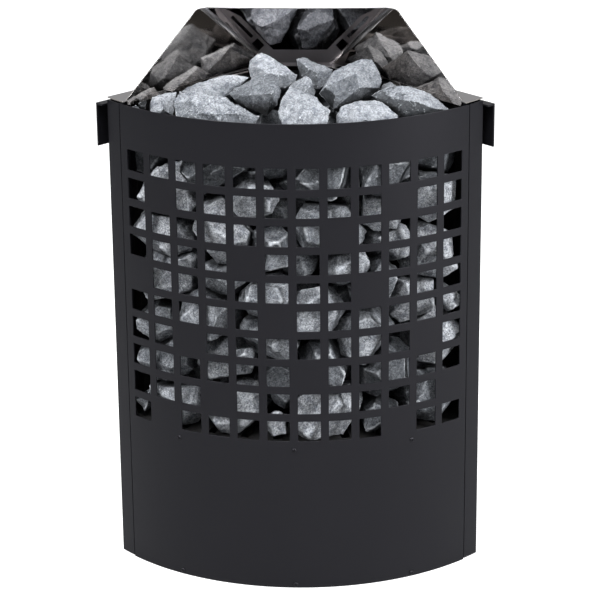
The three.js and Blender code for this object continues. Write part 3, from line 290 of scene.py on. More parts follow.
def stone():
    t = Tree("split_stone")
    tone, wear_and_hollows, coarse, nook = t.attr("tone"), t.attr("wear_and_hollows"), t.attr("grain"), t.attr("nook")
    cloud = t.noise(20, 4, 0.6)
    body = t.ramp(t.math("ADD", t.math("MULTIPLY", t.math("SUBTRACT", cloud, 0.5), 0.42), tone),
                  (0.0, (0.032, 0.034, 0.037)), (0.12, (0.062, 0.065, 0.071)), (0.3, (0.118, 0.124, 0.135)), (0.6, (0.215, 0.223, 0.239)), (0.85, (0.325, 0.334, 0.354)), (1.0, (0.400, 0.408, 0.430)))
    # crystals: each grain has its own shade, over coarser patches of grains
    def shade(size):
        n = t.add("RGBToBW")
        t.put(n.inputs[0], t.cells(size, out="Color"))
        return n.outputs[0]
    fine = t.noise(0.9, 2, 0.75)
    grain = t.math("ADD", t.math("MULTIPLY", shade(1.15), 0.52), t.math("ADD", t.math("MULTIPLY", shade(2.4), 0.18), t.math("MULTIPLY", fine, 0.30)))
    even = t.ramp(grain, (0.28, (0.64, 0.64, 0.65)), (0.5, (0.98, 0.98, 0.98)), (0.74, (1.30, 1.30, 1.29)))
    speckled = t.ramp(grain, (0.28, (0.38, 0.38, 0.39)), (0.5, (0.95, 0.95, 0.95)), (0.74, (1.72, 1.71, 1.68)))
    c = t.mix(1.0, body, t.mix(coarse, even, speckled), "MULTIPLY")
    # ragged blotches a few millimetres across
    blotch = t.noise(7.5, 5, 0.62, distortion=0.9)
    c = t.mix(1.0, c, t.ramp(blotch, (0.36, (0.52, 0.535, 0.575)), (0.46, (0.88, 0.89, 0.905)), (0.54, (1.06, 1.06, 1.06)), (0.66, (1.18, 1.18, 1.175))), "MULTIPLY")
    # scuffs of pale dust, and a little rust-brown in places
    c = t.mix(t.math("MULTIPLY", t.math("MULTIPLY", t.span(t.noise(6, 5, 0.7), 0.52, 0.70, 0, 0.40), t.span(tone, 0.05, 0.4, 0.12, 1)), t.span(t.noise(26, 2), 0.40, 0.62, 0.10, 1)), c, (0.50, 0.515, 0.54))
    c = t.mix(t.math("MULTIPLY", t.math("MULTIPLY", t.span(t.noise(9, 4, 0.7, distortion=1.2), 0.50, 0.34, 0, 1), t.span(coarse, 0.1, 0.6, 0.32, 0.8)), t.span(t.noise(34, 2), 0.38, 0.56, 0.15, 1)), c, (0.085, 0.09, 0.10))
    c = t.mix(t.span(t.noise(36, 3), 0.64, 0.80, 0, 0.16), c, (0.20, 0.178, 0.15))
    # bruised edges are a little paler; hollows get a painted shade
    c = t.mix(t.math("MULTIPLY", t.span(wear_and_hollows, 0.60, 0.86, 0, 0.9), t.span(t.noise(3.2, 3), 0.35, 0.6, 0.4, 1)), c, (0.56, 0.575, 0.60))
    c = t.mix(t.span(wear_and_hollows, 0.42, 0.15, 0, 0.5), c, (0.06, 0.063, 0.07))
    # painted shade where the stones crowd together
    c = t.mix(1.0, c, t.ramp(nook, (0.06, (1.0, 1.0, 1.0)), (0.22, (0.66, 0.66, 0.67)), (0.45, (0.30, 0.30, 0.305)), (0.7, (0.13, 0.13, 0.135))), "MULTIPLY")
    # painted shade: faces with a tone below nothing are blackened all over, their sheen too
    black = t.span(tone, -0.3, 0.0, 0.30, 1)
    c = t.mix(1.0, c, black, "MULTIPLY")
    first = t.bump(t.noise(3.6, 5, 0.65), 0.75, 1.0)
    t.set(Base_Color=c,
          Specular_IOR_Level=t.math("MULTIPLY", black, 0.35),
          Roughness=t.span(fine, 0.3, 0.7, 0.70, 0.92),
          Normal=t.bump(grain, t.span(coarse, 0, 1, 0.22, 0.55), 0.5, first))
    return t.mat


BLACK, SOOT, MIRROR, ZINC, SHEATH = coat_black(), coat_inner(), dark_mirror(), zinc(), sheath()
BRASS, CERAMIC, SLEEVE, PLASTIC, STONE, SCORCHED = brass(), ceramic(), sleeve(), gland_plastic(), stone(), scorched()

# ------------------------------------------------------------------ mesh helpers
def link(name, mesh, material):
    ob = bpy.data.objects.new(name, mesh)
    scene.collection.objects.link(ob)
    mesh.materials.clear()
    mesh.materials.append(material)
    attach(ob, "root")
    return ob


def finish_mesh(bm, name):
    bmesh.ops.recalc_face_normals(bm, faces=bm.faces)
    for f in bm.faces:
        f.smooth = True
    me = bpy.data.meshes.new(name)
    bm.to_mesh(me)
    bm.free()
    return me


def weighted(ob):
    m = ob.modifiers.new("normals", "WEIGHTED_NORMAL")
    m.mode = "FACE_AREA"
    m.keep_sharp = True
    return ob


def left(u, k):
    """Plan point of the left wall's coordinates: u along the wall from the corner, k towards the wall."""
    return (-S * (u + k), S * (k - u))


def at(r, deg):
    return (r * math.sin(deg * RAD), -r * math.cos(deg * RAD))


# ------------------------------------------------------------------ front panel
COLS, ROWS = 12, 10
COL_PITCH, HOLE_W = 7.205, 5.291
ROW_PITCH, HOLE_H, ROW1 = 31.64, 23.0, 59.5
PANEL_HALF = 44.42
BLANK = {(1, 5), (2, 2), (2, 10), (3, 7), (4, 9), (5, 4), (6, 6), (7, 8), (8, 3), (9, 5), (10, 2), (10, 10), (11, 7), (12, 9)}
SCREWS = [(d, z) for z in (4.2, 165.0) for d in (-28.6, 0.0, 28.6)]


def front_panel():
    half = 1.65 / CASING_R / RAD             # half a screw hole
    lines, kind = [-PANEL_HALF], []          # kind of each column of cells: 0 land, c hole column, "s" screw
    def to(deg, what, n):
        a = lines[-1]
        for i in range(1, n + 1):
            lines.append(a + (deg - a) * i / n)
            kind.append(what)
    for c in range(1, COLS + 1):
        mid = (c - (COLS + 1) / 2) * COL_PITCH
        screw = [d for d, _ in SCREWS[:3] if lines[-1] < d < mid - HOLE_W / 2]
        if screw:
            to(screw[0] - half, 0, 1)
            to(screw[0] + half, "s", 1)
        to(mid - HOLE_W / 2, 0, 1 if screw else 2)
        to(mid + HOLE_W / 2, c, 4)
    to(PANEL_HALF, 0, 2)
    zs, rows = [CASING_H], []
    def down(z, what):
        zs.append(z)
        rows.append(what)
    for r in range(1, ROWS + 1):
        mid = CASING_H - ROW1 - (r - 1) * ROW_PITCH
        down(mid + HOLE_H / 2, 0)
        down(mid - HOLE_H / 2, r)
    for z in (165.0, 4.2):
        down(z + 1.65, 0)
        down(z - 1.65, "s")
    down(0.0, 0)
    bm = bmesh.new()
    grid = [[bm.verts.new((CASING_R * a * RAD, 0, z)) for a in lines] for z in zs]
    for j, r in enumerate(rows):
        for i, c in enumerate(kind):
            if r == "s" and c == "s":
                continue
            if r not in (0, "s") and c not in (0, "s") and (c, r) not in BLANK:
                continue
            bm.faces.new((grid[j][i], grid[j + 1][i], grid[j + 1][i + 1], grid[j][i + 1]))
    loose = [v for v in bm.verts if not v.link_faces]
    bmesh.ops.delete(bm, geom=loose, context="VERTS")
    # the sheet's back, and the cut edges
    outer = list(bm.faces)
    rim = [e for e in bm.edges if len(e.link_faces) == 1]
    twin = {v: bm.verts.new((v.co.x, SHEET, v.co.z)) for v in list(bm.verts)}
    for f in outer:
        bm.faces.new([twin[v] for v in reversed(f.verts)])
    for e in rim:
        a, b = e.verts
        bm.faces.new((a, b, twin[b], twin[a]))
    bmesh.ops.recalc_face_normals(bm, faces=bm.faces)
    bm.normal_update()
    # corners of the cut-outs, then every cut edge
    through = [e for e in bm.edges if abs(e.verts[0].co.y - e.verts[1].co.y) > 1 and len(e.link_faces) == 2
               and e.link_faces[0].normal.dot(e.link_faces[1].normal) < 0.5]
    bmesh.ops.bevel(bm, geom=through, offset=0.75, offset_type="OFFSET", segments=2, profile=0.5, affect="EDGES", clamp_overlap=True)
    bm.normal_update()
    edges = [e for e in bm.edges if len(e.link_faces) == 2 and abs(e.verts[0].co.y - e.verts[1].co.y) < 1e-6
             and e.link_faces[0].normal.dot(e.link_faces[1].normal) < 0.5]
    bmesh.ops.bevel(bm, geom=edges, offset=0.28, offset_type="OFFSET", segments=2, profile=0.5, affect="EDGES", clamp_overlap=True)
    for v in bm.verts:
        r, a = CASING_R - v.co.y, v.co.x / CASING_R
        v.co = Vector((r * math.sin(a), AXIS_Y - r * math.cos(a), v.co.z)) * MM
    ob = weighted(link("front_panel", finish_mesh(bm, "front_panel"), BLACK))
    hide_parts(*["front_panel_%d" % i for i in range(1, 8)])


front_panel()


# ------------------------------------------------------------------ panel screws: low domes with a hexagon socket
def panel_screw(n, deg, z):
    bm = bmesh.new()
    sides = 36
    profile = [(2.55, 0.0), (2.6, 0.12), (2.58, 0.5), (2.4, 0.86), (2.05, 1.18), (1.6, 1.42), (1.22, 1.55), (1.12, 1.57)]
    rings = []
    for r, h in profile:
        rings.append([bm.verts.new((r * math.cos(2 * math.pi * i / sides), r * math.sin(2 * math.pi * i / sides), h)) for i in range(sides)])
    def hexagon(i, across):
        a = 2 * math.pi * i / sides
        return across / math.cos(((a + math.pi / 6) % (math.pi / 3)) - math.pi / 6)
    for scale, h in ((0.92, 1.55), (0.90, 0.75)):
        rings.append([bm.verts.new((scale * hexagon(i, 1) * math.cos(2 * math.pi * i / sides), scale * hexagon(i, 1) * math.sin(2 * math.pi * i / sides), h)) for i in range(sides)])
    for a, b in zip(rings, rings[1:]):
        for i in range(sides):
            bm.faces.new((a[i], a[(i + 1) % sides], b[(i + 1) % sides], b[i]))
    bm.faces.new(rings[-1])
    shank = [rings[0]]
    for r, h in ((1.5, 0.0), (1.5, -5.0), (1.2, -5.4)):
        shank.append([bm.verts.new((r * math.cos(2 * math.pi * i / sides), r * math.sin(2 * math.pi * i / sides), h)) for i in range(sides)])
    for a, b in zip(shank, shank[1:]):
        for i in range(sides):
            bm.faces.new((a[(i + 1) % sides], a[i], b[i], b[(i + 1) % sides]))
    bm.faces.new(list(reversed(shank[-1])))
    out = Vector((math.sin(deg * RAD), -math.cos(deg * RAD), 0))
    across = Vector((math.cos(deg * RAD), math.sin(deg * RAD), 0))
    x, y = at(CASING_R + 0.02, deg)
    for v in bm.verts:
        p = across * v.co.x + Vector((0, 0, 1)) * v.co.y + out * v.co.z
        v.co = (Vector((x, y + AXIS_Y, z)) + p) * MM
    me = finish_mesh(bm, "panel_screw_%d" % n)
    me.set_sharp_from_angle(angle=50 * RAD)
    ob = weighted(link("screw_%d" % n, me, BLACK))
    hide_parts("panel_screw_%d" % n)


for i, (deg, z) in enumerate(SCREWS):
    panel_screw(i + 1, deg, z)


# ------------------------------------------------------------------ reflector: one folded sheet
def reflector():
    zf, top, k0 = CASING_H + 2.4 + 1.0, CASING_H + 82.0, 0.5
    foot, head, front, kf = 49.0, 142.5, 258.0, -6.5
    by_u = (kf - k0) / (front - foot)
    by_z = -by_u * (head - foot) / (top - zf)
    on = lambda u, z: left(u, k0 + by_u * (u - foot) + by_z * (z - zf))
    bm = bmesh.new()
    def v(p, z):
        return bm.verts.new((p[0], p[1] + AXIS_Y, z))
    # facets: a long one along each wall, turned a little inwards at its front end, and a back one leaning over the heap
    def half(sign):
        f = lambda p: (sign * p[0], p[1])
        corner = []
        for i in range(0, 11):
            a = (39 + 51 * i / 10) * RAD
            u, z = head + 6 + 12 * math.cos(a), top - 12 + 12 * math.sin(a)
            corner.append(v(f(on(u, z)), z))
        a0 = v(f(on(foot, zf - 0.2)), zf - 0.2)
        a1 = v(f(on(front, zf - 0.2)), zf - 0.2)
        a2 = v(f(on(head, top)), top)
        facet = [a0, a1, *corner, a2]
        bm.faces.new(facet if sign > 0 else list(reversed(facet)))
        return a0, a2
    l0, l2 = half(1)
    r0, r2 = half(-1)
    # the back facet's upper edge dips a little towards its middle
    edge, steps = [], 10
    down = Vector((l0.co.x, l0.co.y, l0.co.z)) - Vector((l2.co.x, l2.co.y, l2.co.z))
    slope = Vector((0, down.y, down.z)) / -down.z
    for i in range(1, steps):
        w = i / steps * 2 - 1
        p = l2.co.lerp(r2.co, i / steps) + slope * 1.3 * (1 - w * w)
        edge.append(bm.verts.new(p))
    bm.faces.new((r0, l0, l2, *edge, r2))
    bmesh.ops.recalc_face_normals(bm, faces=bm.faces)
    bm.normal_update()
    back = next(f for f in bm.faces if {l0, r0} <= set(f.verts))
    if back.normal.y > 0:                    # the mirror side faces the heap
        bmesh.ops.reverse_faces(bm, faces=bm.faces)
        bm.normal_update()
    folds = [e for e in bm.edges if len(e.link_faces) == 2]
    bmesh.ops.bevel(bm, geom=folds, offset=5.2, offset_type="OFFSET", segments=8, profile=0.5, affect="EDGES", clamp_overlap=True)
    # ledge: flat plates outside the long facets, widened at the back of the heap, with vent slots and corner reliefs
    end = math.degrees(math.atan2(*[q * w for q, w in zip(left(math.sqrt(CASING_R ** 2 - 18.5 ** 2), 18.5), (1, -1))]))
    stop = math.degrees(math.atan2(*[q * w for q, w in zip(left(math.sqrt(CASING_R ** 2 - 8.6 ** 2), -8.6), (1, -1))]))
    ly, lk = -48.8, -13.5
    rim = [at(CASING_R, end + (stop - end) * i / 6) for i in range(7)]
    side = [left(18.5 + 20 / S, 18.5), *rim, left(front, kf - 0.35), left(140, -2.9), left(108, lk), (ly - lk / S, ly)]
    flip = lambda pts: [(-x, y) for x, y in reversed(pts)]
    square = lambda u0, u1, k0, k1: [left(u0, k0), left(u1, k0), left(u1, k1), left(u0, k1)]
    slots = [square(82, 114, -5, -8.7), square(66, 77, -1, -10)]
    edges = []
    for loop in [side + flip(side), *slots, *[flip(q) for q in slots]]:
        vs = [v(p, zf) for p in loop]
        edges += [bm.edges.new((vs[i], vs[(i + 1) % len(vs)])) for i in range(len(vs))]
    got = bmesh.ops.triangle_fill(bm, edges=edges, use_beauty=True, use_dissolve=True, normal=(0, 0, 1))
    plate = [g for g in got["geom"] if isinstance(g, bmesh.types.BMFace)]
    bm.normal_update()
    bmesh.ops.reverse_faces(bm, faces=[f for f in plate if f.normal.z < 0])
    # a short lip turned down along the plates' inner edge
    for sign in (1, -1):
        f = lambda p: (sign * p[0], p[1])
        ends = [f(left(142, -3.0)), f(left(front - 1, kf - 0.32))]
        quad = [v(ends[0], zf - 0.6), v(ends[1], zf - 0.6), v(ends[1], zf - 6.0), v(ends[0], zf - 6.0)]
        lip = bm.faces.new(quad)
        lip.normal_update()
        if lip.normal.x * sign < 0:          # the sheet's thickness goes towards the wall
            lip.normal_flip()
    for w in bm.verts:
        w.co *= MM
    for f in bm.faces:
        f.smooth = True
    me = bpy.data.meshes.new("reflector_sheet")
    bm.to_mesh(me)
    bm.free()
    ob = link("reflector_sheet", me, MIRROR)
    m = ob.modifiers.new("thickness", "SOLIDIFY")
    m.thickness, m.offset, m.use_even_offset = 0.001, -1.0, True
    b = ob.modifiers.new("edges", "BEVEL")
    b.width, b.segments, b.limit_method, b.angle_limit = 0.00018, 2, "ANGLE", 60 * RAD
    weighted(ob)
    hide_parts("reflector")


reflector()


# ------------------------------------------------------------------ stones
GRAD = np.random.default_rng(11).normal(size=(256, 3))
GRAD /= np.linalg.norm(GRAD, axis=1)[:, None]


def gnoise(p, size, seed):
    """Gradient noise at points p (mm), features about size mm across, roughly -1 to 1."""
    x = p / size + seed * 17.31
    i = np.floor(x).astype(np.int64)
    f = x - i
    u = f * f * f * (f * (f * 6 - 15) + 10)
    total = np.zeros(len(p))
    for cx in (0, 1):
        for cy in (0, 1):
            for cz in (0, 1):
                h = (i[:, 0] + cx) * 73856093 ^ (i[:, 1] + cy) * 19349663 ^ (i[:, 2] + cz) * 83492791 ^ (seed * 40503 + 977)
                h = (h ^ (h >> 13)) * 1274126177 & 0x7FFFFFFF
                g = GRAD[(h >> 7) & 255]
                d = f - np.array((cx, cy, cz))
                w = np.where(cx, u[:, 0], 1 - u[:, 0]) * np.where(cy, u[:, 1], 1 - u[:, 1]) * np.where(cz, u[:, 2], 1 - u[:, 2])
                total += w * (g * d).sum(1)
    return total * 1.6


def rock(points, voxel, seed, rough=1.0, flake=0.8, scallop=0.0):
    """A split stone inside the hull of some points (metres): returns vertices, faces, edge wear and hollows and the way
    each face looks.
    """
    bm = bmesh.new()
    vs = [bm.verts.new(p) for p in points]
    hull = bmesh.ops.convex_hull(bm, input=vs)
    bmesh.ops.delete(bm, geom=list({g for g in hull["geom_interior"] + hull["geom_unused"] if isinstance(g, bmesh.types.BMVert)}), context="VERTS")
    bm.normal_update()
    planes = np.array([(*f.normal, f.normal.dot(f.verts[0].co) * 1000) for f in bm.faces])
    me = bpy.data.meshes.new("rock_work")
    bm.to_mesh(me)
    bm.free()
    ob = bpy.data.objects.new("rock_work", me)
    scene.collection.objects.link(ob)
    m = ob.modifiers.new("remesh", "REMESH")
    m.mode, m.voxel_size = "VOXEL", voxel
    sm = ob.modifiers.new("ease", "SMOOTH")
    sm.factor, sm.iterations = 0.5, 1
    got = bpy.data.meshes.new_from_object(ob.evaluated_get(bpy.context.evaluated_depsgraph_get()))
    bpy.data.objects.remove(ob)
    n = len(got.vertices)
    co = np.empty(n * 3, np.float32)
    got.vertices.foreach_get("co", co)
    no = np.empty(n * 3, np.float32)
    got.vertices.foreach_get("normal", no)
    co, no = co.reshape(-1, 3).astype(float) * 1000, no.reshape(-1, 3).astype(float)
    edges = np.empty(len(got.edges) * 2, np.int32)
    got.edges.foreach_get("vertices", edges)
    edges = edges.reshape(-1, 2)
    counts = np.empty(len(got.polygons), np.int32)
    got.polygons.foreach_get("loop_total", counts)
    loops = np.empty(len(got.loops), np.int32)
    got.loops.foreach_get("vertex_index", loops)
    bpy.data.meshes.remove(got)
    bpy.data.meshes.remove(me)

    def bulge(c, k):
        """How far each point stands out from its neighbourhood, in mm, after k rounds of spreading."""
        mean = c.copy()
        for _ in range(k):
            total, many = np.zeros_like(mean), np.zeros(len(mean))
            for a, b in ((0, 1), (1, 0)):
                np.add.at(total, edges[:, a], mean[edges[:, b]])
                np.add.at(many, edges[:, a], 1)
            mean = total / many[:, None]
        return ((c - mean) * no).sum(1)

    rng = np.random.default_rng(seed)
    size = float(np.ptp(co, axis=0).max())
    edge = np.clip(bulge(co, 3) / (voxel * 1000 * 0.35), 0, 1)
    # slight swells, then flakes: patches that broke off at slightly different depths and slants
    d = 0.45 * gnoise(co, 0.45 * size, seed) + 0.35 * gnoise(co, 0.2 * size, seed + 1)
    many = 16
    picks = co[rng.choice(n, many)]
    slant = rng.normal(size=(many, 3)) * 0.05
    depth = rng.uniform(-0.6, 0.6, many)
    warp = co + np.stack([gnoise(co, 12, seed + 5), gnoise(co, 12, seed + 6), gnoise(co, 12, seed + 7)], 1) * 5.0
    near = ((warp[:, None] - picks[None]) ** 2).sum(2).argmin(1)
    d += flake * (depth[near] + ((co - picks[near]) * slant[near]).sum(1))
    # scalloped breaks: rounded hollows that meet in crests
    d += scallop * (0.3 - 0.7 * np.abs(gnoise(warp, 15.0, seed + 9)) - 0.7 * np.abs(gnoise(warp, 6.5, seed + 10)))
    # shallow scoops with sharp rims, where chips were struck off
    if scallop:
        many = 46
        picks = co[rng.choice(n, many)]
        bend = rng.uniform(14, 42, many)
        deep = rng.uniform(0.3, 1.7, many) * scallop
        apart = ((co[:, None] + (warp - co)[:, None] * 0.22 - picks[None]) ** 2).sum(2)
        d -= np.maximum(deep - apart / (2 * bend), 0).max(1)
    d += 0.32 * gnoise(co, 7.0, seed + 2) + 0.24 * gnoise(co, 3.6, seed + 3) + 0.15 * gnoise(co, 2.0, seed + 4)
    chips = np.clip(gnoise(co, 9, seed + 8) * 1.6 + 0.05, 0, 1)
    d = d * rough - 0.8 - 1.3 * edge * chips
    co = co + no * np.minimum(d, 0.05)[:, None]
    wear_and_hollows = np.clip(0.5 + bulge(co, 4) / (voxel * 1000 * 1.5), 0, 1)
    crest = np.clip((edge - 0.35) / 0.5, 0, 1) * np.clip(0.75 + gnoise(co, 8, seed + 12), 0, 1)
    wear_and_hollows = np.maximum(wear_and_hollows, 0.5 + 0.48 * crest)
    return co / 1000, counts, loops, wear_and_hollows, no, planes


WAYS = np.array([(x, y, z) for x in (-1, 0, 1) for y in (-1, 0, 1) for z in (-1, 0, 1) if abs(x) + abs(y) + abs(z) in (1, 3)], float)
WAYS /= np.linalg.norm(WAYS, axis=1)[:, None]


def nook(part, others):
    """How far each of a rock's points is shut in by the rocks around it, 0 to 1."""
    co, no = part[0] * 1000, part[4]
    lo, hi = co.min(0), co.max(0)
    shut = np.zeros((len(co), len(WAYS)), bool)
    for other in others:
        near = other[0] * 1000
        if other is part or (near.min(0) > hi + 22).any() or (near.max(0) < lo - 22).any():
            continue
        n, w = other[5][:, :3], other[5][:, 3]
        close = np.flatnonzero((co @ n.T - w).max(1) < 22)
        for k, way in enumerate(WAYS):
            for far in (5.0, 14.0):
                shut[close, k] |= ((co[close] + way * far) @ n.T - w).max(1) < 0
    weight = np.clip(no @ WAYS.T, 0, 1)
    return (shut * weight).sum(1) / weight.sum(1)


def stone_piece(name, parts, tones, grain, nooks):
    """Joins rocks into one piece and keeps each one's tone, grain contrast, edge wear and hollows, and the painted
    shade in the nooks.
    """
    co = np.concatenate([p[0] for p in parts])
    counts = np.concatenate([p[1] for p in parts])
    shift = np.cumsum([0] + [len(p[0]) for p in parts[:-1]])
    loops = np.concatenate([p[2] + s for p, s in zip(parts, shift)])
    me = bpy.data.meshes.new(name)
    me.vertices.add(len(co))
    me.vertices.foreach_set("co", co.astype(np.float32).ravel())
    me.loops.add(len(loops))
    me.loops.foreach_set("vertex_index", loops.astype(np.int32))
    me.polygons.add(len(counts))
    me.polygons.foreach_set("loop_start", np.concatenate([[0], np.cumsum(counts)[:-1]]).astype(np.int32))
    me.polygons.foreach_set("use_smooth", np.ones(len(counts), bool))
    me.update(calc_edges=True)
    me.validate()
    for label, values in (("wear_and_hollows", np.concatenate([p[3] for p in parts])), ("tone", np.concatenate([t + np.zeros(len(p[0])) for p, t in zip(parts, tones)])), ("grain", np.full(len(co), grain)), ("nook", np.concatenate(nooks))):
        me.attributes.new(label, "FLOAT", "POINT").data.foreach_set("value", values.astype(np.float32))
    return link(name, me, STONE)


# the heap: each stone's tone, relief and grain, and the faces that are a different shade, by the way they look; these
# face shades are partly each face's own colour and partly painted light and shade by which way the face turns
HEAP = {
    1: (.66, 1.1, .25, []),
    2: (.36, 1.8, .75, [((.46, -.63, .63), .42), ((-.34, -.59, .74), .44), ((.01, -.35, .94), .64)]),
    3: (.64, 1.0, .20, [((-.05, -.33, .94), .80)]),
    4: (.28, 0.8, .45, [((-.11, -.96, .26), .15), ((-.43, -.88, .17), .20), ((.63, -.77, .13), .10), ((.76, -.46, .45), .38), ((.11, -.41, .91), .29)]),
    5: (.62, 0.8, .20, [((.19, -.30, .93), .77), ((.43, -.89, .16), .38), ((.57, -.58, .59), .46), ((-.51, -.83, .22), .54)]),
    6: (.54, 0.9, .30, []),
    7: (.60, 1.2, .30, [((-.47, -.48, .74), .68)]),
    8: (.32, 0.7, .30, [((-.39, -.81, .45), .10), ((.14, -.33, .93), .46), ((.36, -.76, .54), .34)]),
    9: (.42, 0.6, .30, [((-.27, -.42, .87), .59), ((-.06, -.84, .54), .23), ((.43, -.50, .75), .42), ((-.58, -.77, .27), -.20), ((.48, -.81, -.35), .10)]),
    10: (.68, 1.2, .20, [((-.85, -.50, .15), .20)]),
    11: (.57, 1.0, .25, [((.19, -.98, .10), .00), ((-.52, -.84, .12), .00), ((-.29, -.70, .65), .00), ((.09, -.82, .57), .00)]),
    12: (.70, 0.8, .20, []),
    13: (.10, 0.6, .40, []),
    14: (-.28, 0.6, .30, []),
}
FEET = {2: (9, 2, .10), 3: (10, 3, .34), 4: (-4, -13, .42), 5: (6, -12, .20), 6: (12, 4, .30), 8: (4, -14, .14), 9: (0, -10, .28), 11: (2, -12, .20)}
heap = {i: rock([v.co.copy() for v in NODES["top_stone_%02d" % i].data.vertices], 0.00095, 100 + i * 11, 1.0, 0.25, look[1]) for i, look in HEAP.items()}
for i, (tone, scallop, grain, faces) in HEAP.items():
    node, part = "top_stone_%02d" % i, heap[i]
    co, looks = part[0] * 1000, part[4]
    shade = np.full(len(co), tone)
    ragged = 0.045 * gnoise(co, 7.0, i + 300) + 0.03 * gnoise(co, 2.5, i + 320)
    # painted light and shade, partly each face's own colour: points on a listed face take its shade
    for way, value in faces:
        way = np.array(way) / np.linalg.norm(way)
        shade += (value - shade) * np.clip((looks @ way - 0.885 + ragged) / 0.035, 0, 1)
    if i in FEET:                            # painted shade, darker towards the foot
        high, low, drop = CASING_H + FEET[i][0], CASING_H + FEET[i][1], FEET[i][2]
        shade -= drop * np.clip((high + 70 * ragged - co[:, 2]) / (high - low), 0, 1)
    # painted shade: darker the deeper a point lies below a height near the casing's top, kept with the nook shade
    rise = -6 if i in (1, 2, 7, 10, 11) else -1
    deep = np.clip((CASING_H + rise + 40 * ragged - co[:, 2]) / 14, 0, 1) * 0.7
    ob = stone_piece("heap_stone_%02d" % i, [part], [shade], grain, [np.maximum(nook(part, heap.values()), deep)])
    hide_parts(node)

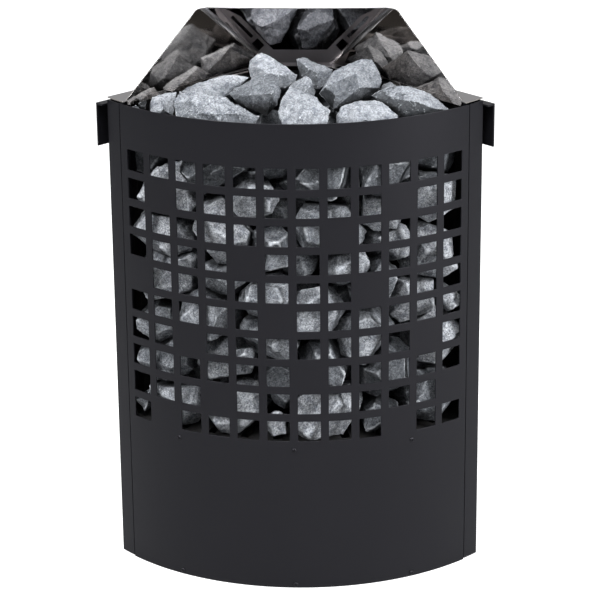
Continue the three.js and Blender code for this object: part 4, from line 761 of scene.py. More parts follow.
# the bed: each stone as its corner points, tenths of a millimetre from the bow's axis
BED = [
    [906, -1847, 1924, 1021, -2039, 1710, 918, -2104, 2123, 1126, -2129, 2013, 751, -2336, 1999, 955, -2443, 1961, 845, -2368, 2046, 649, -1928, 1914, 673, -1995, 2005, 824, -1987, 2089, 757, -1844, 1886, 866, -1830, 1935, 1080, -2119, 1710, 1064, -2401, 1926, 939, -2454, 1895, 646, -1953, 1829, 700, -1924, 1768, 762, -1983, 1710, 809, -2317, 1710, 742, -2388, 1792, 772, -2411, 1763, 1140, -2152, 1996, 1133, -2177, 1787, 1090, -2378, 1923],
    [-1, -1157, 2004, -6, -1060, 1943, -5, -1078, 1760, -150, -972, 1955, -352, -1360, 2166, -259, -1266, 2199, -425, -1199, 1724, -4, -1111, 1714, -341, -957, 2037, -451, -1022, 1980, -391, -1172, 2201, -555, -1282, 2129, -528, -1282, 2159, -338, -1480, 1912, -537, -1349, 2000, -435, -1243, 1722, -253, -1474, 1791, -268, -1399, 1710, 3, -1271, 1777, 0, -1202, 1710],
    [321, -634, 2179, 248, -636, 1710, 591, -548, 2098, 536, -619, 2159, 629, -694, 2075, 595, -709, 2110, 299, -421, 1910, 357, -439, 2016, 579, -500, 2059, 300, -655, 2172, 268, -835, 2091, 193, -711, 2075, 405, -892, 2047, 296, -886, 2063, 267, -866, 1869, 224, -489, 1873, 143, -647, 1927, 215, -631, 1730, 161, -693, 1818, 582, -497, 1818, 491, -533, 1710, 509, -477, 1760, 512, -880, 1842, 574, -666, 1710, 430, -816, 1710, 426, -866, 1750, 649, -758, 1861, 627, -667, 1760],
    [595, -877, 2032, 830, -1283, 1710, 936, -1229, 1710, 670, -1145, 2227, 539, -1310, 2005, 658, -1372, 2007, 659, -935, 1710, 531, -928, 1917, 621, -1176, 1710, 494, -1225, 1903, 1065, -1164, 1892, 759, -1321, 2107, 836, -802, 1995, 940, -900, 2071, 1079, -1017, 1921, 905, -849, 1710, 921, -864, 1710],
    [-1034, -1980, 2191, -1294, -1593, 1978, -1336, -1726, 2176, -1139, -2218, 2184, -1636, -2053, 2141, -1623, -2046, 2159, -1258, -2176, 1710, -1122, -2311, 2067, -1217, -2327, 1994, -1426, -2042, 1710, -1637, -2017, 2055, -1372, -1677, 1710, -1416, -1649, 1788, -1073, -2055, 1710, -1210, -1684, 1710, -1131, -1635, 1874, -929, -1929, 2031, -941, -2093, 1908],
    [123, -1186, 1710, 302, -1276, 1710, -119, -1684, 2215, -79, -1273, 2155, 361, -1295, 2288, -84, -1352, 1710, -257, -1593, 1916, -235, -1439, 1908, 243, -1060, 1888, 255, -1107, 2224, 141, -1091, 2188, 484, -1202, 1868, 466, -1106, 2071, 452, -1090, 1960, -59, -1686, 2233, 542, -1339, 2035, 288, -1719, 2015, 260, -1699, 2135, 474, -1336, 2237, 534, -1289, 2159, -109, -1575, 1710, 71, -1646, 1710, 95, -1754, 1816, -216, -1661, 1848, -139, -1742, 1902],
    [-496, -567, 1710, -531, -487, 1796, -450, -512, 1710, -29, -485, 1710, -493, -597, 1710, -546, -653, 1901, -327, -846, 2037, 73, -799, 2061, -31, -571, 2188, 138, -586, 1885, -4, -470, 1747, 18, -479, 2076, -90, -390, 1987, -146, -891, 1899, 19, -670, 1710, -233, -753, 1710, -420, -394, 2034, -552, -467, 1855, -574, -558, 1960, -171, -598, 2238, -439, -479, 2134, -488, -536, 2121, -273, -762, 2214, 85, -807, 2040, 33, -861, 1931, 152, -661, 1879, 102, -719, 1797],
    [-469, -2112, 1762, -393, -2025, 2101, -806, -2019, 2209, -783, -1940, 2096, -318, -2335, 1967, -458, -2146, 1756, -697, -2061, 1765, -828, -1959, 2002, -862, -2245, 1729, -526, -2162, 2325, -550, -2508, 2160, -892, -2129, 2201, -756, -2383, 2291, -754, -2406, 2278, -922, -2449, 1911, -1007, -2195, 1923, -1004, -2169, 1949, -582, -2562, 1925, -526, -2522, 1865, -885, -2474, 1867, -814, -2360, 1710, -631, -2386, 1710, -347, -2087, 2172, -408, -2159, 2288, -281, -2284, 2141, -306, -2300, 2184],
    [-525, -1901, 1710, -699, -1734, 1711, -887, -1741, 1863, -647, -1498, 1785, -913, -1826, 1950, -768, -1636, 2306, -831, -1614, 2218, -782, -1438, 1924, -334, -1537, 1850, -627, -2036, 1897, -833, -1960, 1996, -711, -1918, 2221, -443, -1978, 2216, -387, -2043, 2048, -467, -1418, 2118, -435, -1427, 2111, -719, -1621, 2313, -364, -1810, 2273, -279, -1740, 2206, -264, -1947, 1947, -205, -1815, 1996, -360, -1873, 1757, -265, -1659, 1835],
    [1338, -2238, 2045, 1435, -2135, 2295, 1582, -2097, 1851, 1529, -1635, 2262, 1219, -1922, 2328, 1273, -2055, 2366, 1331, -2067, 2372, 1683, -1970, 2250, 1645, -1841, 2323, 1644, -1725, 2291, 1752, -1952, 2044, 1764, -1758, 1949, 1579, -1867, 1710, 1534, -1992, 1710, 1521, -1586, 2178, 1322, -1628, 2006, 1736, -1651, 2000, 1724, -1641, 2031, 1463, -1724, 1711, 1392, -1720, 1711, 1142, -2104, 2201, 1238, -2221, 2024, 1026, -1922, 2099, 1239, -1989, 1710, 1228, -1910, 1710, 1150, -2064, 1814, 1087, -1981, 1867],
    [640, -2141, 2283, 715, -2391, 2015, 522, -2362, 1710, 522, -2014, 1710, 166, -2557, 1710, -82, -2306, 1780, -11, -2318, 1710, 384, -2120, 2289, -70, -2188, 1926, 177, -1992, 1998, 499, -2578, 2170, 457, -2525, 2261, -42, -2525, 1915, 125, -2624, 1810, -12, -2423, 2164, 117, -2414, 2275, 701, -2121, 2216, 761, -2196, 2088, 522, -1948, 1797, 543, -1976, 1743],
    [1209, -1855, 2299, 1154, -1526, 2582, 1495, -1414, 2193, 1308, -1223, 2426, 1300, -1732, 2403, 1187, -1879, 2225, 1086, -1005, 1957, 1057, -1016, 1940, 1039, -1525, 1813, 1488, -1408, 2073, 1373, -1568, 1976, 947, -1288, 2457, 787, -1341, 2078, 954, -1000, 2032, 1028, -944, 2159, 1059, -974, 2295, 844, -1519, 1979, 1116, -1827, 2147, 1008, -1554, 1831],
    [266, -1133, 2420, 396, -1183, 2236, 653, -1272, 2481, 631, -1267, 2312, 749, -1172, 2587, 269, -815, 2316, 789, -1035, 2156, 889, -804, 2341, 907, -916, 2318, 702, -1044, 2654, 394, -877, 2643, 403, -781, 2622, 603, -682, 2584, 732, -755, 2589, 630, -627, 2151, 369, -750, 2142, 469, -889, 2032, 587, -861, 2019],
    [-1440, -2048, 2168, -1185, -2200, 2454, -1348, -2254, 2432, -1541, -1538, 2420, -1398, -1677, 2670, -1727, -1642, 2424, -1725, -1722, 2516, -1325, -1722, 2705, -1119, -2056, 2333, -1231, -1964, 2181, -1062, -1890, 2491, -1097, -1772, 2478, -1755, -1954, 2407, -1741, -1899, 2508, -1517, -1992, 2164, -1730, -1650, 2401, -1276, -1904, 2728, -1369, -2089, 2684, -1294, -2195, 2616, -1181, -2167, 2590, -1131, -2036, 2627, -1288, -1722, 2179, -1243, -1648, 2284, -1490, -1536, 2323, -1550, -1595, 2231, -1491, -1667, 2168],
    [434, -1499, 2032, 193, -1914, 2045, 340, -1428, 2442, 276, -1738, 2723, 196, -1593, 2578, 630, -1507, 1984, 699, -2029, 2094, 561, -1914, 1957, 571, -1977, 2631, 310, -1848, 2707, 501, -2163, 2339, 322, -2123, 2322, 839, -1693, 2582, 771, -1551, 2609, 723, -1422, 2483, 784, -1484, 2124, 896, -1751, 2251],
    [-117, -1707, 2246, -421, -1423, 2164, -428, -1018, 2502, 11, -944, 2647, -231, -1007, 2770, -235, -1095, 2835, 124, -1181, 2292, 44, -1199, 2179, -29, -1159, 2165, -128, -945, 2397, 20, -934, 2572, -143, -1562, 2663, -203, -1115, 2840, 23, -1025, 2703, 105, -1544, 2489, 155, -1421, 2489, -555, -1306, 2334, -591, -1213, 2431, -504, -1305, 2627, -311, -1732, 2353, -316, -1664, 2544, -385, -1649, 2201, -419, -1593, 2189],
    [-380, -1704, 2539, -394, -1692, 2511, -359, -1996, 2590, -706, -2285, 2825, -592, -2145, 2836, -626, -1649, 2746, -736, -1950, 2187, -528, -1978, 2235, -546, -2315, 2396, -466, -2234, 2370, -745, -2283, 2813, -687, -1617, 2723, -704, -1558, 2513, -748, -1580, 2480, -1102, -1896, 2623, -1085, -1893, 2652, -942, -2154, 2253, -1089, -2119, 2438, -910, -2300, 2329, -988, -2290, 2435],
    [1186, -2343, 2604, 1202, -2335, 2326, 1238, -2198, 2261, 1010, -2418, 2279, 1116, -2112, 2146, 811, -2195, 2092, 870, -2226, 2090, 700, -2200, 2197, 745, -2412, 2502, 654, -2053, 2288, 661, -2110, 2480, 890, -2471, 2470, 1103, -2379, 2648, 991, -2285, 2737, 1257, -2041, 2626, 1270, -2005, 2544, 981, -1868, 2194, 1057, -1777, 2436, 1000, -1763, 2493, 792, -1882, 2208, 827, -1892, 2172, 870, -1963, 2686, 985, -1822, 2619, 997, -2103, 2773, 1123, -1987, 2721],
    [-381, -2082, 2584, -227, -1960, 2719, -244, -1993, 2715, -285, -1681, 2468, -326, -1709, 2429, -235, -1822, 2038, -118, -2290, 1968, -247, -2235, 2014, -188, -2343, 2530, -354, -2367, 2422, -322, -2381, 2290, -91, -2391, 2082, 114, -2356, 2255, 101, -2345, 2358, 66, -1833, 2600, 107, -1860, 2564, -128, -1643, 2431, 164, -1840, 2164, 164, -2063, 2048, 18, -2101, 1936, -124, -1798, 2004, 9, -1706, 2135],
    [1331, -2039, 2943, 1510, -2062, 2420, 1590, -2091, 2600, 1513, -1885, 3049, 1855, -1771, 2700, 1799, -1898, 2750, 1271, -2022, 2922, 1269, -2000, 2437, 1554, -1930, 2344, 1829, -1743, 2620, 1502, -1428, 3002, 1551, -1476, 3036, 1333, -1483, 3060, 1480, -1555, 3105, 1206, -1522, 3001, 1124, -1728, 2924, 1215, -1890, 2391, 1112, -1692, 2544, 1178, -1527, 2605, 1462, -1835, 2314, 1506, -1421, 2520],
    [439, -2021, 2514, 215, -2078, 2342, 224, -2136, 2276, 467, -2581, 2325, 216, -2617, 2496, 151, -2322, 2274, 68, -2394, 2383, 371, -2314, 2884, 254, -2610, 2710, 400, -2588, 2746, 576, -2094, 2489, 608, -2186, 2566, 500, -2209, 2315, 503, -2575, 2329, 572, -2564, 2491, 239, -2097, 2747, 318, -2284, 2891, 143, -2376, 2814, 41, -2150, 2635, 14, -2206, 2644],
    [-1629, -1543, 2954, -1227, -1764, 2872, -1219, -1844, 2753, -1273, -2001, 2728, -1557, -1687, 2595, -1551, -2096, 2692, -1477, -2028, 2633, -1631, -2058, 2968, -1505, -2141, 2797, -1346, -2097, 2834, -1541, -1666, 2603, -1347, -1644, 2693, -1583, -1530, 2898, -1342, -1606, 2778, -1733, -1690, 2885, -1758, -1804, 2739, -1753, -1957, 2879, -1763, -1940, 2775, -1367, -1979, 3040, -1494, -1983, 3063, -1300, -1829, 3018, -1505, -1706, 3047],
    [439, -1516, 2556, 227, -1626, 2633, 375, -1619, 2757, 399, -1582, 2593, 175, -1602, 2627, 35, -1483, 2698, 61, -1457, 2567, 28, -1436, 2602, 414, -953, 2811, 562, -1305, 2638, 395, -1584, 2825, 513, -1381, 2888, 463, -1286, 2973, 68, -1389, 2863, 296, -1438, 2966, 376, -1297, 3012, 75, -1080, 2641, 350, -1229, 2423, 285, -1207, 2419, 236, -1055, 2499, 389, -952, 2602, 490, -1007, 2594, 519, -1077, 2559, 236, -1101, 2959, 357, -922, 2815, 337, -913, 2788, 103, -1134, 2894, 96, -1033, 2754],
    [893, -1603, 2540, 1011, -1662, 2600, 547, -1140, 2761, 623, -1390, 2821, 563, -1109, 2713, 1044, -1631, 2877, 767, -1443, 3000, 1252, -1196, 2820, 1179, -1459, 2966, 1150, -1583, 2898, 720, -1007, 3006, 1002, -931, 2974, 897, -1177, 3144, 846, -1182, 3144, 682, -971, 2698, 819, -871, 2916, 915, -861, 2916, 1251, -1223, 2681, 899, -1433, 2408, 988, -1012, 2513, 1148, -1603, 2570],
    [-163, -1544, 2660, 91, -1131, 2957, 56, -1130, 3129, 120, -1238, 3062, -404, -1078, 2769, 23, -1030, 3063, 55, -1059, 2973, -218, -1597, 3009, 81, -1335, 3032, -205, -1651, 2804, -129, -1603, 2753, -175, -1114, 3208, -422, -1478, 3125, -408, -1370, 2634, -255, -1535, 2625, -383, -1599, 2688, -446, -1052, 2846, -245, -985, 3134, -262, -1005, 3156, -512, -1534, 2716, -542, -1155, 2941, -512, -1166, 3052],
    [845, -1968, 3197, 1090, -2158, 2931, 831, -1926, 3141, 543, -1973, 2850, 483, -2433, 2671, 395, -2260, 2941, 1070, -2094, 2838, 930, -1931, 2865, 625, -1973, 2698, 768, -2397, 2524, 617, -2281, 2519, 465, -2295, 3055, 989, -2412, 2956, 806, -2443, 3111, 660, -2487, 3070, 755, -2517, 2602, 601, -2548, 2688],
    [-672, -1828, 2757, -676, -1772, 2786, -778, -1942, 3311, -543, -2044, 3172, -660, -1728, 2897, -1251, -2310, 3017, -1230, -1975, 3197, -960, -2429, 3321, -992, -2234, 3372, -1146, -1843, 2898, -1220, -1934, 3182, -834, -1671, 2886, -891, -1758, 3203, -788, -1658, 2954, -1164, -2085, 2783, -1010, -2141, 2707, -1247, -2313, 2997, -904, -2466, 2846, -891, -2443, 2821, -522, -2206, 3133, -588, -2161, 2866, -818, -2497, 3126, -708, -2415, 3193],
    [-370, -2002, 2781, -411, -1877, 2826, 9, -1439, 2871, -7, -1489, 2704, 353, -1570, 2962, 308, -1532, 3009, 320, -1640, 2714, 115, -1573, 2628, -183, -1596, 3061, 115, -1660, 3159, 89, -1908, 3140, -383, -1908, 2980, -408, -1843, 2974, -154, -2094, 2656, 354, -1880, 2782, 373, -1905, 2888, 243, -2003, 2987],
    [-462, -2529, 2900, -257, -2615, 2831, -483, -1985, 2876, -414, -2183, 2580, -350, -2066, 2646, 55, -2519, 2802, 70, -2153, 2712, -571, -2103, 2835, -507, -2200, 2658, -608, -2283, 2949, -573, -2384, 2857, -40, -2389, 2583, -128, -2394, 2559, -27, -2519, 2649, -78, -2533, 2641, -72, -2576, 2932, 34, -2536, 2874, 29, -2085, 2731, 64, -2116, 2726, -389, -1956, 3014, -226, -1967, 3041, -55, -2204, 3141, -56, -2162, 3141, -187, -2034, 3120, -193, -2420, 3119, -383, -2021, 3089, -555, -2302, 3061, -485, -2400, 3072],
    [1190, -1510, 2997, 1142, -1438, 3213, 1380, -1525, 3376, 1128, -1991, 2870, 1028, -1744, 2881, 1014, -2092, 2997, 1501, -2009, 3018, 1489, -1585, 3359, 1485, -1642, 3089, 1076, -1479, 3264, 1169, -1565, 3405, 1097, -2037, 3403, 861, -1825, 3047, 866, -1943, 3078, 1506, -2062, 3104, 1503, -1890, 3349, 1234, -2202, 3243, 1201, -2130, 3386],
    [464, -1713, 2812, 315, -1971, 3288, 271, -2022, 3108, 265, -1811, 3021, 892, -1792, 3089, 518, -2094, 2933, 864, -1671, 2946, 830, -1518, 2943, 570, -1878, 2795, 518, -1748, 2782, 498, -1466, 3003, 302, -1640, 3132, 325, -1679, 3248, 880, -1743, 3261, 355, -2006, 3307, 572, -1970, 3374, 638, -1992, 3337, 358, -2134, 3084, 391, -2147, 3062, 588, -2148, 3062, 562, -2159, 3042, 821, -1481, 2973, 629, -1406, 3042, 814, -1451, 3149, 721, -1415, 3180, 853, -1620, 3298, 660, -1521, 3337, 722, -1596, 3369],
    [336, -1010, 3151, -146, -1638, 3464, 437, -972, 3273, -219, -1487, 3576, 96, -988, 3555, 300, -1146, 3645, -267, -1106, 3239, -316, -1390, 3528, -150, -1042, 3499, 359, -1394, 2972, 375, -1596, 3351, 338, -1425, 2963, 280, -1623, 3118, -366, -1400, 3393, -296, -1154, 3224, -125, -1487, 3035, -224, -1662, 3235, -185, -1663, 3174, 358, -1159, 3621, 487, -1440, 3416, 503, -1027, 3309, 550, -1228, 3251],
    [-1624, -2009, 3136, -1616, -1700, 3629, -1288, -2198, 3664, -1733, -1774, 3231, -1659, -1664, 3579, -984, -1885, 3236, -1101, -2154, 3307, -1581, -2011, 3107, -1236, -1482, 3370, -1632, -1593, 3177, -1565, -1485, 3355, -1424, -1689, 3026, -1171, -1655, 3089, -977, -1754, 3735, -1045, -1788, 3774, -926, -1850, 3663, -1103, -2235, 3664, -1148, -2234, 3698],
    [-95, -2620, 3135, -505, -2577, 3312, -212, -2606, 3116, -593, -2364, 3195, -480, -2322, 3073, -457, -2587, 3547, -376, -2132, 3090, -417, -2084, 3188, -18, -2124, 3147, -72, -2328, 3567, -35, -2102, 3193, -60, -2626, 3262, -178, -2618, 3504, 32, -2451, 3495, 19, -2450, 3523, -291, -2336, 3592, -606, -2250, 3310, -555, -2157, 3317],
    [-836, -1524, 3503, -731, -1486, 3588, -694, -1543, 3642, -371, -1354, 3289, -315, -1546, 3497, -366, -1353, 3251, -182, -1817, 3413, -219, -1769, 3047, -183, -1716, 3109, -719, -1614, 3642, -839, -1660, 3544, -808, -1515, 3234, -504, -1403, 3123, -470, -1676, 2949, -815, -1910, 3313, -632, -1807, 2966, -793, -1756, 3087, -646, -2030, 3272, -251, -1960, 3422, -347, -1977, 3456, -307, -1971, 3112, -507, -2006, 3081],
    [-94, -1635, 3442, 135, -1617, 3388, -10, -1866, 3609, 74, -1869, 3594, 204, -1644, 3260, 293, -1856, 3159, -68, -1700, 3207, 144, -1687, 3147, 236, -1839, 3109, -200, -2007, 3222, -81, -2198, 3380, -161, -2014, 3526, -242, -2049, 3327, -239, -1980, 3440, 287, -1929, 3196, 157, -2009, 3480, 48, -2124, 3141],
    [793, -1833, 3396, 694, -1968, 3629, 597, -2146, 3217, 566, -2306, 3428, 548, -1981, 3400, 533, -2020, 3492, 959, -1833, 3299, 981, -1845, 3303, 1018, -2223, 3219, 894, -2276, 3164, 722, -2152, 3137, 927, -2159, 3743, 1097, -2095, 3561, 1120, -2326, 3510, 1059, -2403, 3569, 947, -2340, 3701, 838, -2489, 3454, 737, -2470, 3504],
    [381, -2216, 3388, 24, -2626, 2947, -85, -2627, 3177, 421, -2278, 3420, 274, -2495, 3478, 289, -2594, 3412, 447, -2179, 3134, 38, -2284, 3351, 15, -2410, 3397, 234, -2206, 2957, 252, -2371, 2847, -18, -2270, 3082, -13, -2547, 2913, -93, -2490, 2999, 457, -2587, 3228, 319, -2605, 2947, 374, -2444, 2881, 569, -2361, 3214, 557, -2303, 3120],
    [338, -1497, 3755, 499, -1670, 3819, 546, -1990, 3649, 464, -2022, 3424, 505, -1929, 3345, 380, -1706, 3271, 420, -1982, 3776, 407, -1952, 3801, 310, -2022, 3502, 758, -1580, 3599, 781, -1605, 3566, 773, -1606, 3535, 554, -1462, 3397, 495, -1377, 3565, 471, -1377, 3480, 203, -1908, 3487, 255, -1496, 3456, 247, -1682, 3325, 219, -1558, 3718, 195, -1759, 3719],
    [-866, -2398, 3603, -1062, -2152, 3413, -865, -2422, 3562, -1014, -2247, 3394, -638, -2440, 3406, -724, -2326, 3286, -510, -2227, 3694, -746, -1753, 3494, -817, -1914, 3326, -352, -2036, 3396, -609, -2095, 3247, -480, -2350, 3470, -441, -2231, 3649, -354, -2037, 3488, -735, -1967, 3710, -988, -2163, 3631, -1059, -2104, 3508, -697, -1792, 3592],
    [-384, -2012, 3497, -288, -1614, 3478, -138, -1380, 3771, -414, -1506, 3627, 4, -1422, 3707, -3, -1528, 3569, -105, -1452, 3911, 33, -1475, 3805, -455, -1986, 3574, -524, -1654, 3709, 63, -1826, 3633, 86, -1849, 3730, -360, -2020, 3506, -238, -1622, 3997, -484, -1739, 3875, -430, -1988, 3793, -218, -2060, 3831, -125, -2023, 3875],
    [-1386, -2231, 3784, -1646, -1669, 4083, -1579, -2016, 4123, -1756, -1953, 3887, -1237, -2276, 4018, -1322, -2185, 4154, -1584, -1619, 4081, -1522, -1513, 3882, -1173, -1896, 4132, -1561, -1523, 3809, -1796, -1726, 3866, -1815, -1798, 3829, -1069, -2163, 3891, -1005, -1818, 3887, -997, -1871, 3954, -1493, -1627, 3670, -1577, -1780, 3630, -1043, -1850, 3768, -1302, -2151, 3665, -1103, -2104, 3724],
    [330, -2166, 3772, 471, -2459, 3851, 442, -2590, 3661, 431, -2090, 3792, 798, -2132, 3654, 255, -2211, 3563, 257, -2150, 3618, 303, -2171, 3470, 324, -2049, 3533, 656, -2468, 3906, 734, -2287, 3906, 799, -2502, 3819, 724, -2523, 3855, 809, -2499, 3781, 833, -2328, 3619, 483, -2577, 3601, 719, -2515, 3575, 741, -2430, 3519, 434, -2256, 3382, 472, -2245, 3377, 369, -2014, 3539, 453, -2004, 3658, 511, -2084, 3456, 766, -2109, 3638],
    [-32, -1206, 3983, -1, -1329, 3827, 39, -1257, 3606, -155, -1191, 4029, -486, -951, 3942, -380, -957, 3978, -7, -978, 3825, -310, -1417, 3586, -354, -1473, 3731, -577, -1290, 3869, -515, -1380, 3880, 42, -1187, 3582, 15, -980, 3709, -421, -1189, 3482, -293, -1045, 3460, -278, -962, 3528, -514, -949, 3870, -601, -1168, 3754],
    [-21, -2178, 3439, -82, -2171, 3465, -114, -1935, 3620, -125, -1939, 3651, 206, -2096, 3907, 34, -2064, 3924, 183, -1871, 3799, 66, -1899, 3836, 183, -1990, 3482, 203, -1865, 3756, 103, -1884, 3575, 262, -2187, 3861, 67, -2382, 3764, 82, -2376, 3523, 148, -2390, 3553, -75, -2162, 3875, -172, -2121, 3735, -18, -2367, 3773, -141, -2315, 3592, -124, -2339, 3600, 305, -2182, 3776, 205, -2339, 3565, 298, -1987, 3655, 245, -2019, 3513],
    [1249, -1955, 3656, 1183, -2245, 3704, 761, -1845, 3516, 738, -1905, 3523, 588, -1710, 3952, 493, -1771, 3796, 692, -1684, 3624, 587, -1865, 4043, 1106, -2090, 4090, 784, -1630, 3716, 749, -1634, 3882, 1310, -2015, 3877, 1213, -1971, 4003, 549, -1935, 4009, 861, -2294, 3956, 457, -1901, 3800, 499, -1966, 3742, 885, -2306, 3957, 1110, -2213, 4046, 1260, -2190, 3879],
    [-445, -1623, 3940, -878, -1373, 3894, -912, -1453, 3985, -507, -1466, 3932, -803, -1340, 3891, -936, -1543, 3961, -822, -1705, 4047, -916, -1565, 3706, -678, -1671, 4166, -737, -1482, 4127, -627, -1404, 4082, -595, -1418, 4079, -881, -1443, 3723, -904, -1535, 3686, -681, -1403, 3728, -748, -1373, 3745, -536, -1792, 3738, -742, -1808, 3673, -670, -1654, 3623, -730, -1681, 3615, -519, -1780, 4067, -582, -1706, 4155, -481, -1706, 4094, -512, -1676, 4132, -703, -1866, 3847, -725, -1831, 3690, -563, -1860, 3921, -546, -1812, 3745],
    [435, -1736, 4176, 128, -1947, 4053, 582, -1475, 3980, 546, -1526, 3827, 349, -1429, 4234, 477, -1322, 4078, 151, -1987, 3993, 528, -1734, 3830, 539, -1786, 4067, 568, -1761, 4032, 87, -1232, 4077, 156, -1361, 4207, -51, -1697, 4076, -133, -1545, 3924, -142, -1588, 3927, 212, -1283, 3703, 90, -1269, 3780, 131, -1183, 4009, 262, -1181, 3972, 144, -1982, 3956, 1, -1803, 3799, 278, -1857, 3751, 136, -1766, 3699],
    [1609, -1922, 3942, 1687, -1841, 3878, 1364, -1428, 3826, 1525, -1467, 3782, 1132, -1835, 3403, 1208, -1495, 3402, 1175, -1475, 3463, 1570, -1571, 3348, 1598, -1571, 3372, 1229, -1937, 3387, 1587, -1875, 3338, 1420, -2133, 3752, 1540, -2128, 3762, 1760, -1949, 3491, 1245, -1540, 3918, 992, -1670, 3691, 1218, -1917, 3927, 1316, -1825, 4011],
    [-661, -1378, 2119, -677, -1291, 2241, -906, -1542, 1847, -899, -1613, 2025, -1336, -1335, 2356, -1476, -1415, 2152, -1364, -1302, 2316, -646, -1200, 1762, -632, -1189, 1775, -642, -1056, 1822, -872, -1066, 2289, -681, -1196, 2247, -892, -852, 2090, -666, -998, 2031, -1222, -1591, 2320, -1340, -1512, 2346, -1405, -1551, 2252, -1328, -1645, 2180, -1218, -1669, 2220, -923, -838, 2066, -728, -1012, 1787, -794, -1103, 1710, -1464, -1398, 2035, -1345, -1542, 1922, -1211, -1501, 1795, -1121, -1222, 1710, -1248, -1163, 1831],
    [-815, -2283, 3634, -747, -2328, 3636, -1093, -2284, 4031, -458, -2253, 3697, -644, -2547, 3968, -741, -2259, 4398, -456, -2433, 4063, -490, -2496, 3987, -1026, -2417, 4273, -764, -2148, 4406, -933, -2069, 4358, -550, -1885, 4074, -420, -2154, 3722, -375, -2110, 3893, -1056, -1987, 3988, -964, -1921, 4204, -677, -1810, 4020, -853, -1925, 3700, -762, -1881, 3723],
    [-111, -728, 2691, -642, -557, 3047, -107, -724, 2728, -308, -949, 2683, -596, -588, 2584, -235, -549, 3028, -534, -514, 3084, -347, -460, 2961, -225, -856, 3112, -343, -688, 3223, -276, -680, 3193, -709, -737, 3070, -654, -755, 2561, -748, -925, 2836, -716, -988, 2853, -533, -891, 2533, -549, -825, 2493, -367, -496, 2686, -539, -569, 2564, -492, -749, 2490, -639, -1031, 2976, -401, -1054, 3017, -339, -984, 3125, -469, -878, 3222, -602, -892, 3165],
    [-270, -1605, 4354, -126, -1503, 4390, -308, -1200, 4377, -53, -1194, 4368, -107, -1240, 4413, -401, -1656, 3948, -277, -1700, 4019, -412, -1725, 4093, -368, -1735, 4106, -36, -1538, 4048, 46, -1274, 4260, 27, -1442, 4252, -427, -1593, 3910, 12, -1192, 4101, -38, -1408, 3990, -386, -1273, 3952, -352, -1454, 3881, -421, -1303, 4347, -445, -1550, 4324, -515, -1618, 4183, -566, -1462, 4056, -563, -1433, 4060, -34, -1142, 4110, -243, -1143, 4051, -125, -1084, 4264, -176, -1081, 4261],
    [-492, -2378, 3747, -384, -2129, 3883, -136, -2207, 4063, 37, -2381, 3947, -4, -2252, 3935, -433, -2372, 4072, -154, -2267, 4111, -35, -2455, 4063, -136, -2612, 4015, -232, -2617, 4010, -149, -2208, 3688, -467, -2286, 3707, -392, -2128, 3835, -320, -2369, 3586, -169, -2305, 3602, -347, -2568, 3649, -306, -2609, 3673, -41, -2549, 3718, -77, -2598, 3726],
    [-1137, -1420, 2914, -1048, -1596, 3062, -1051, -1314, 3624, -927, -1511, 3604, -979, -1545, 3544, -1232, -1415, 2936, -1247, -1528, 3050, -1339, -1453, 3325, -1355, -1396, 3346, -1056, -1165, 2925, -884, -1484, 3595, -706, -1376, 3343, -1351, -1266, 3261, -1256, -1297, 2954, -1077, -1153, 2931, -954, -1126, 3601, -776, -1135, 3567, -1073, -988, 3376, -959, -938, 3249, -684, -1294, 3342, -818, -1068, 3142, -884, -954, 3258],
    [-46, -1889, 4472, -219, -1877, 4483, -358, -2017, 4406, -317, -1645, 4320, -457, -1757, 4233, -331, -2163, 4321, -469, -1811, 4059, -297, -2080, 3887, -418, -2038, 3988, 100, -2144, 4321, -36, -2255, 4035, -126, -2259, 4261, -253, -1613, 4289, 7, -1729, 4346, 45, -2219, 4025, 136, -2137, 4264, -297, -1736, 3934, -203, -1655, 4017, -233, -2001, 3848, 55, -2095, 3950, 165, -1817, 4129, 172, -1836, 4124],
    [666, -581, 3737, 730, -645, 3549, 547, -1322, 3984, 736, -1384, 3735, 336, -1192, 3996, 253, -1099, 3816, 354, -698, 3706, 476, -605, 3823, 775, -1355, 3730, 878, -983, 3500, 933, -848, 3598, 963, -878, 4013, 957, -909, 4052, 512, -1188, 3497, 333, -1091, 3564, 681, -937, 3384, 410, -780, 3484, 588, -759, 3400, 938, -914, 4064, 547, -817, 4062, 551, -1225, 4087, 414, -1152, 4084],
    [100, -2323, 4363, 159, -2393, 4381, 645, -2547, 4158, 747, -2357, 3919, 632, -2550, 3909, 147, -2130, 4301, 524, -2566, 3879, 582, -2332, 4339, 693, -2470, 4207, 785, -2302, 4025, 100, -2068, 4053, 234, -2380, 3771, 666, -2198, 3876, 273, -2288, 3772, 139, -2043, 4023, 158, -2619, 4024, 115, -2625, 4209, 98, -2604, 4229, 13, -2467, 4220, -4, -2363, 4028, 92, -2459, 3885, 499, -1965, 4230, 593, -2016, 4241, 486, -1941, 4140, 714, -2045, 4065, 701, -2035, 4048],
    [71, -929, 4916, -135, -1089, 4534, 339, -736, 4629, -41, -772, 4703, -91, -816, 4609, 257, -948, 4931, 410, -790, 4700, 522, -1061, 4638, 14, -1258, 4819, -41, -1284, 4718, 277, -1349, 4383, 427, -1242, 4805, 374, -1229, 4867, 22, -1081, 4303, 88, -905, 4295, 227, -877, 4308, 406, -1156, 4351, 282, -1335, 4353],
    [-396, -2581, 4592, -442, -2563, 4591, -553, -2439, 4199, -659, -2423, 4328, -179, -2479, 4287, -231, -2616, 4451, -241, -2588, 4333, -335, -1972, 4481, -602, -2100, 4637, -674, -2015, 4267, -742, -2148, 4377, -637, -1998, 4551, -657, -2038, 4589, -485, -1999, 4219, -635, -2014, 4219, -447, -2207, 4098, -502, -2219, 4095, -281, -2025, 4520, -312, -2163, 4649, -120, -2438, 4417, -208, -2496, 4615, -156, -2533, 4533],
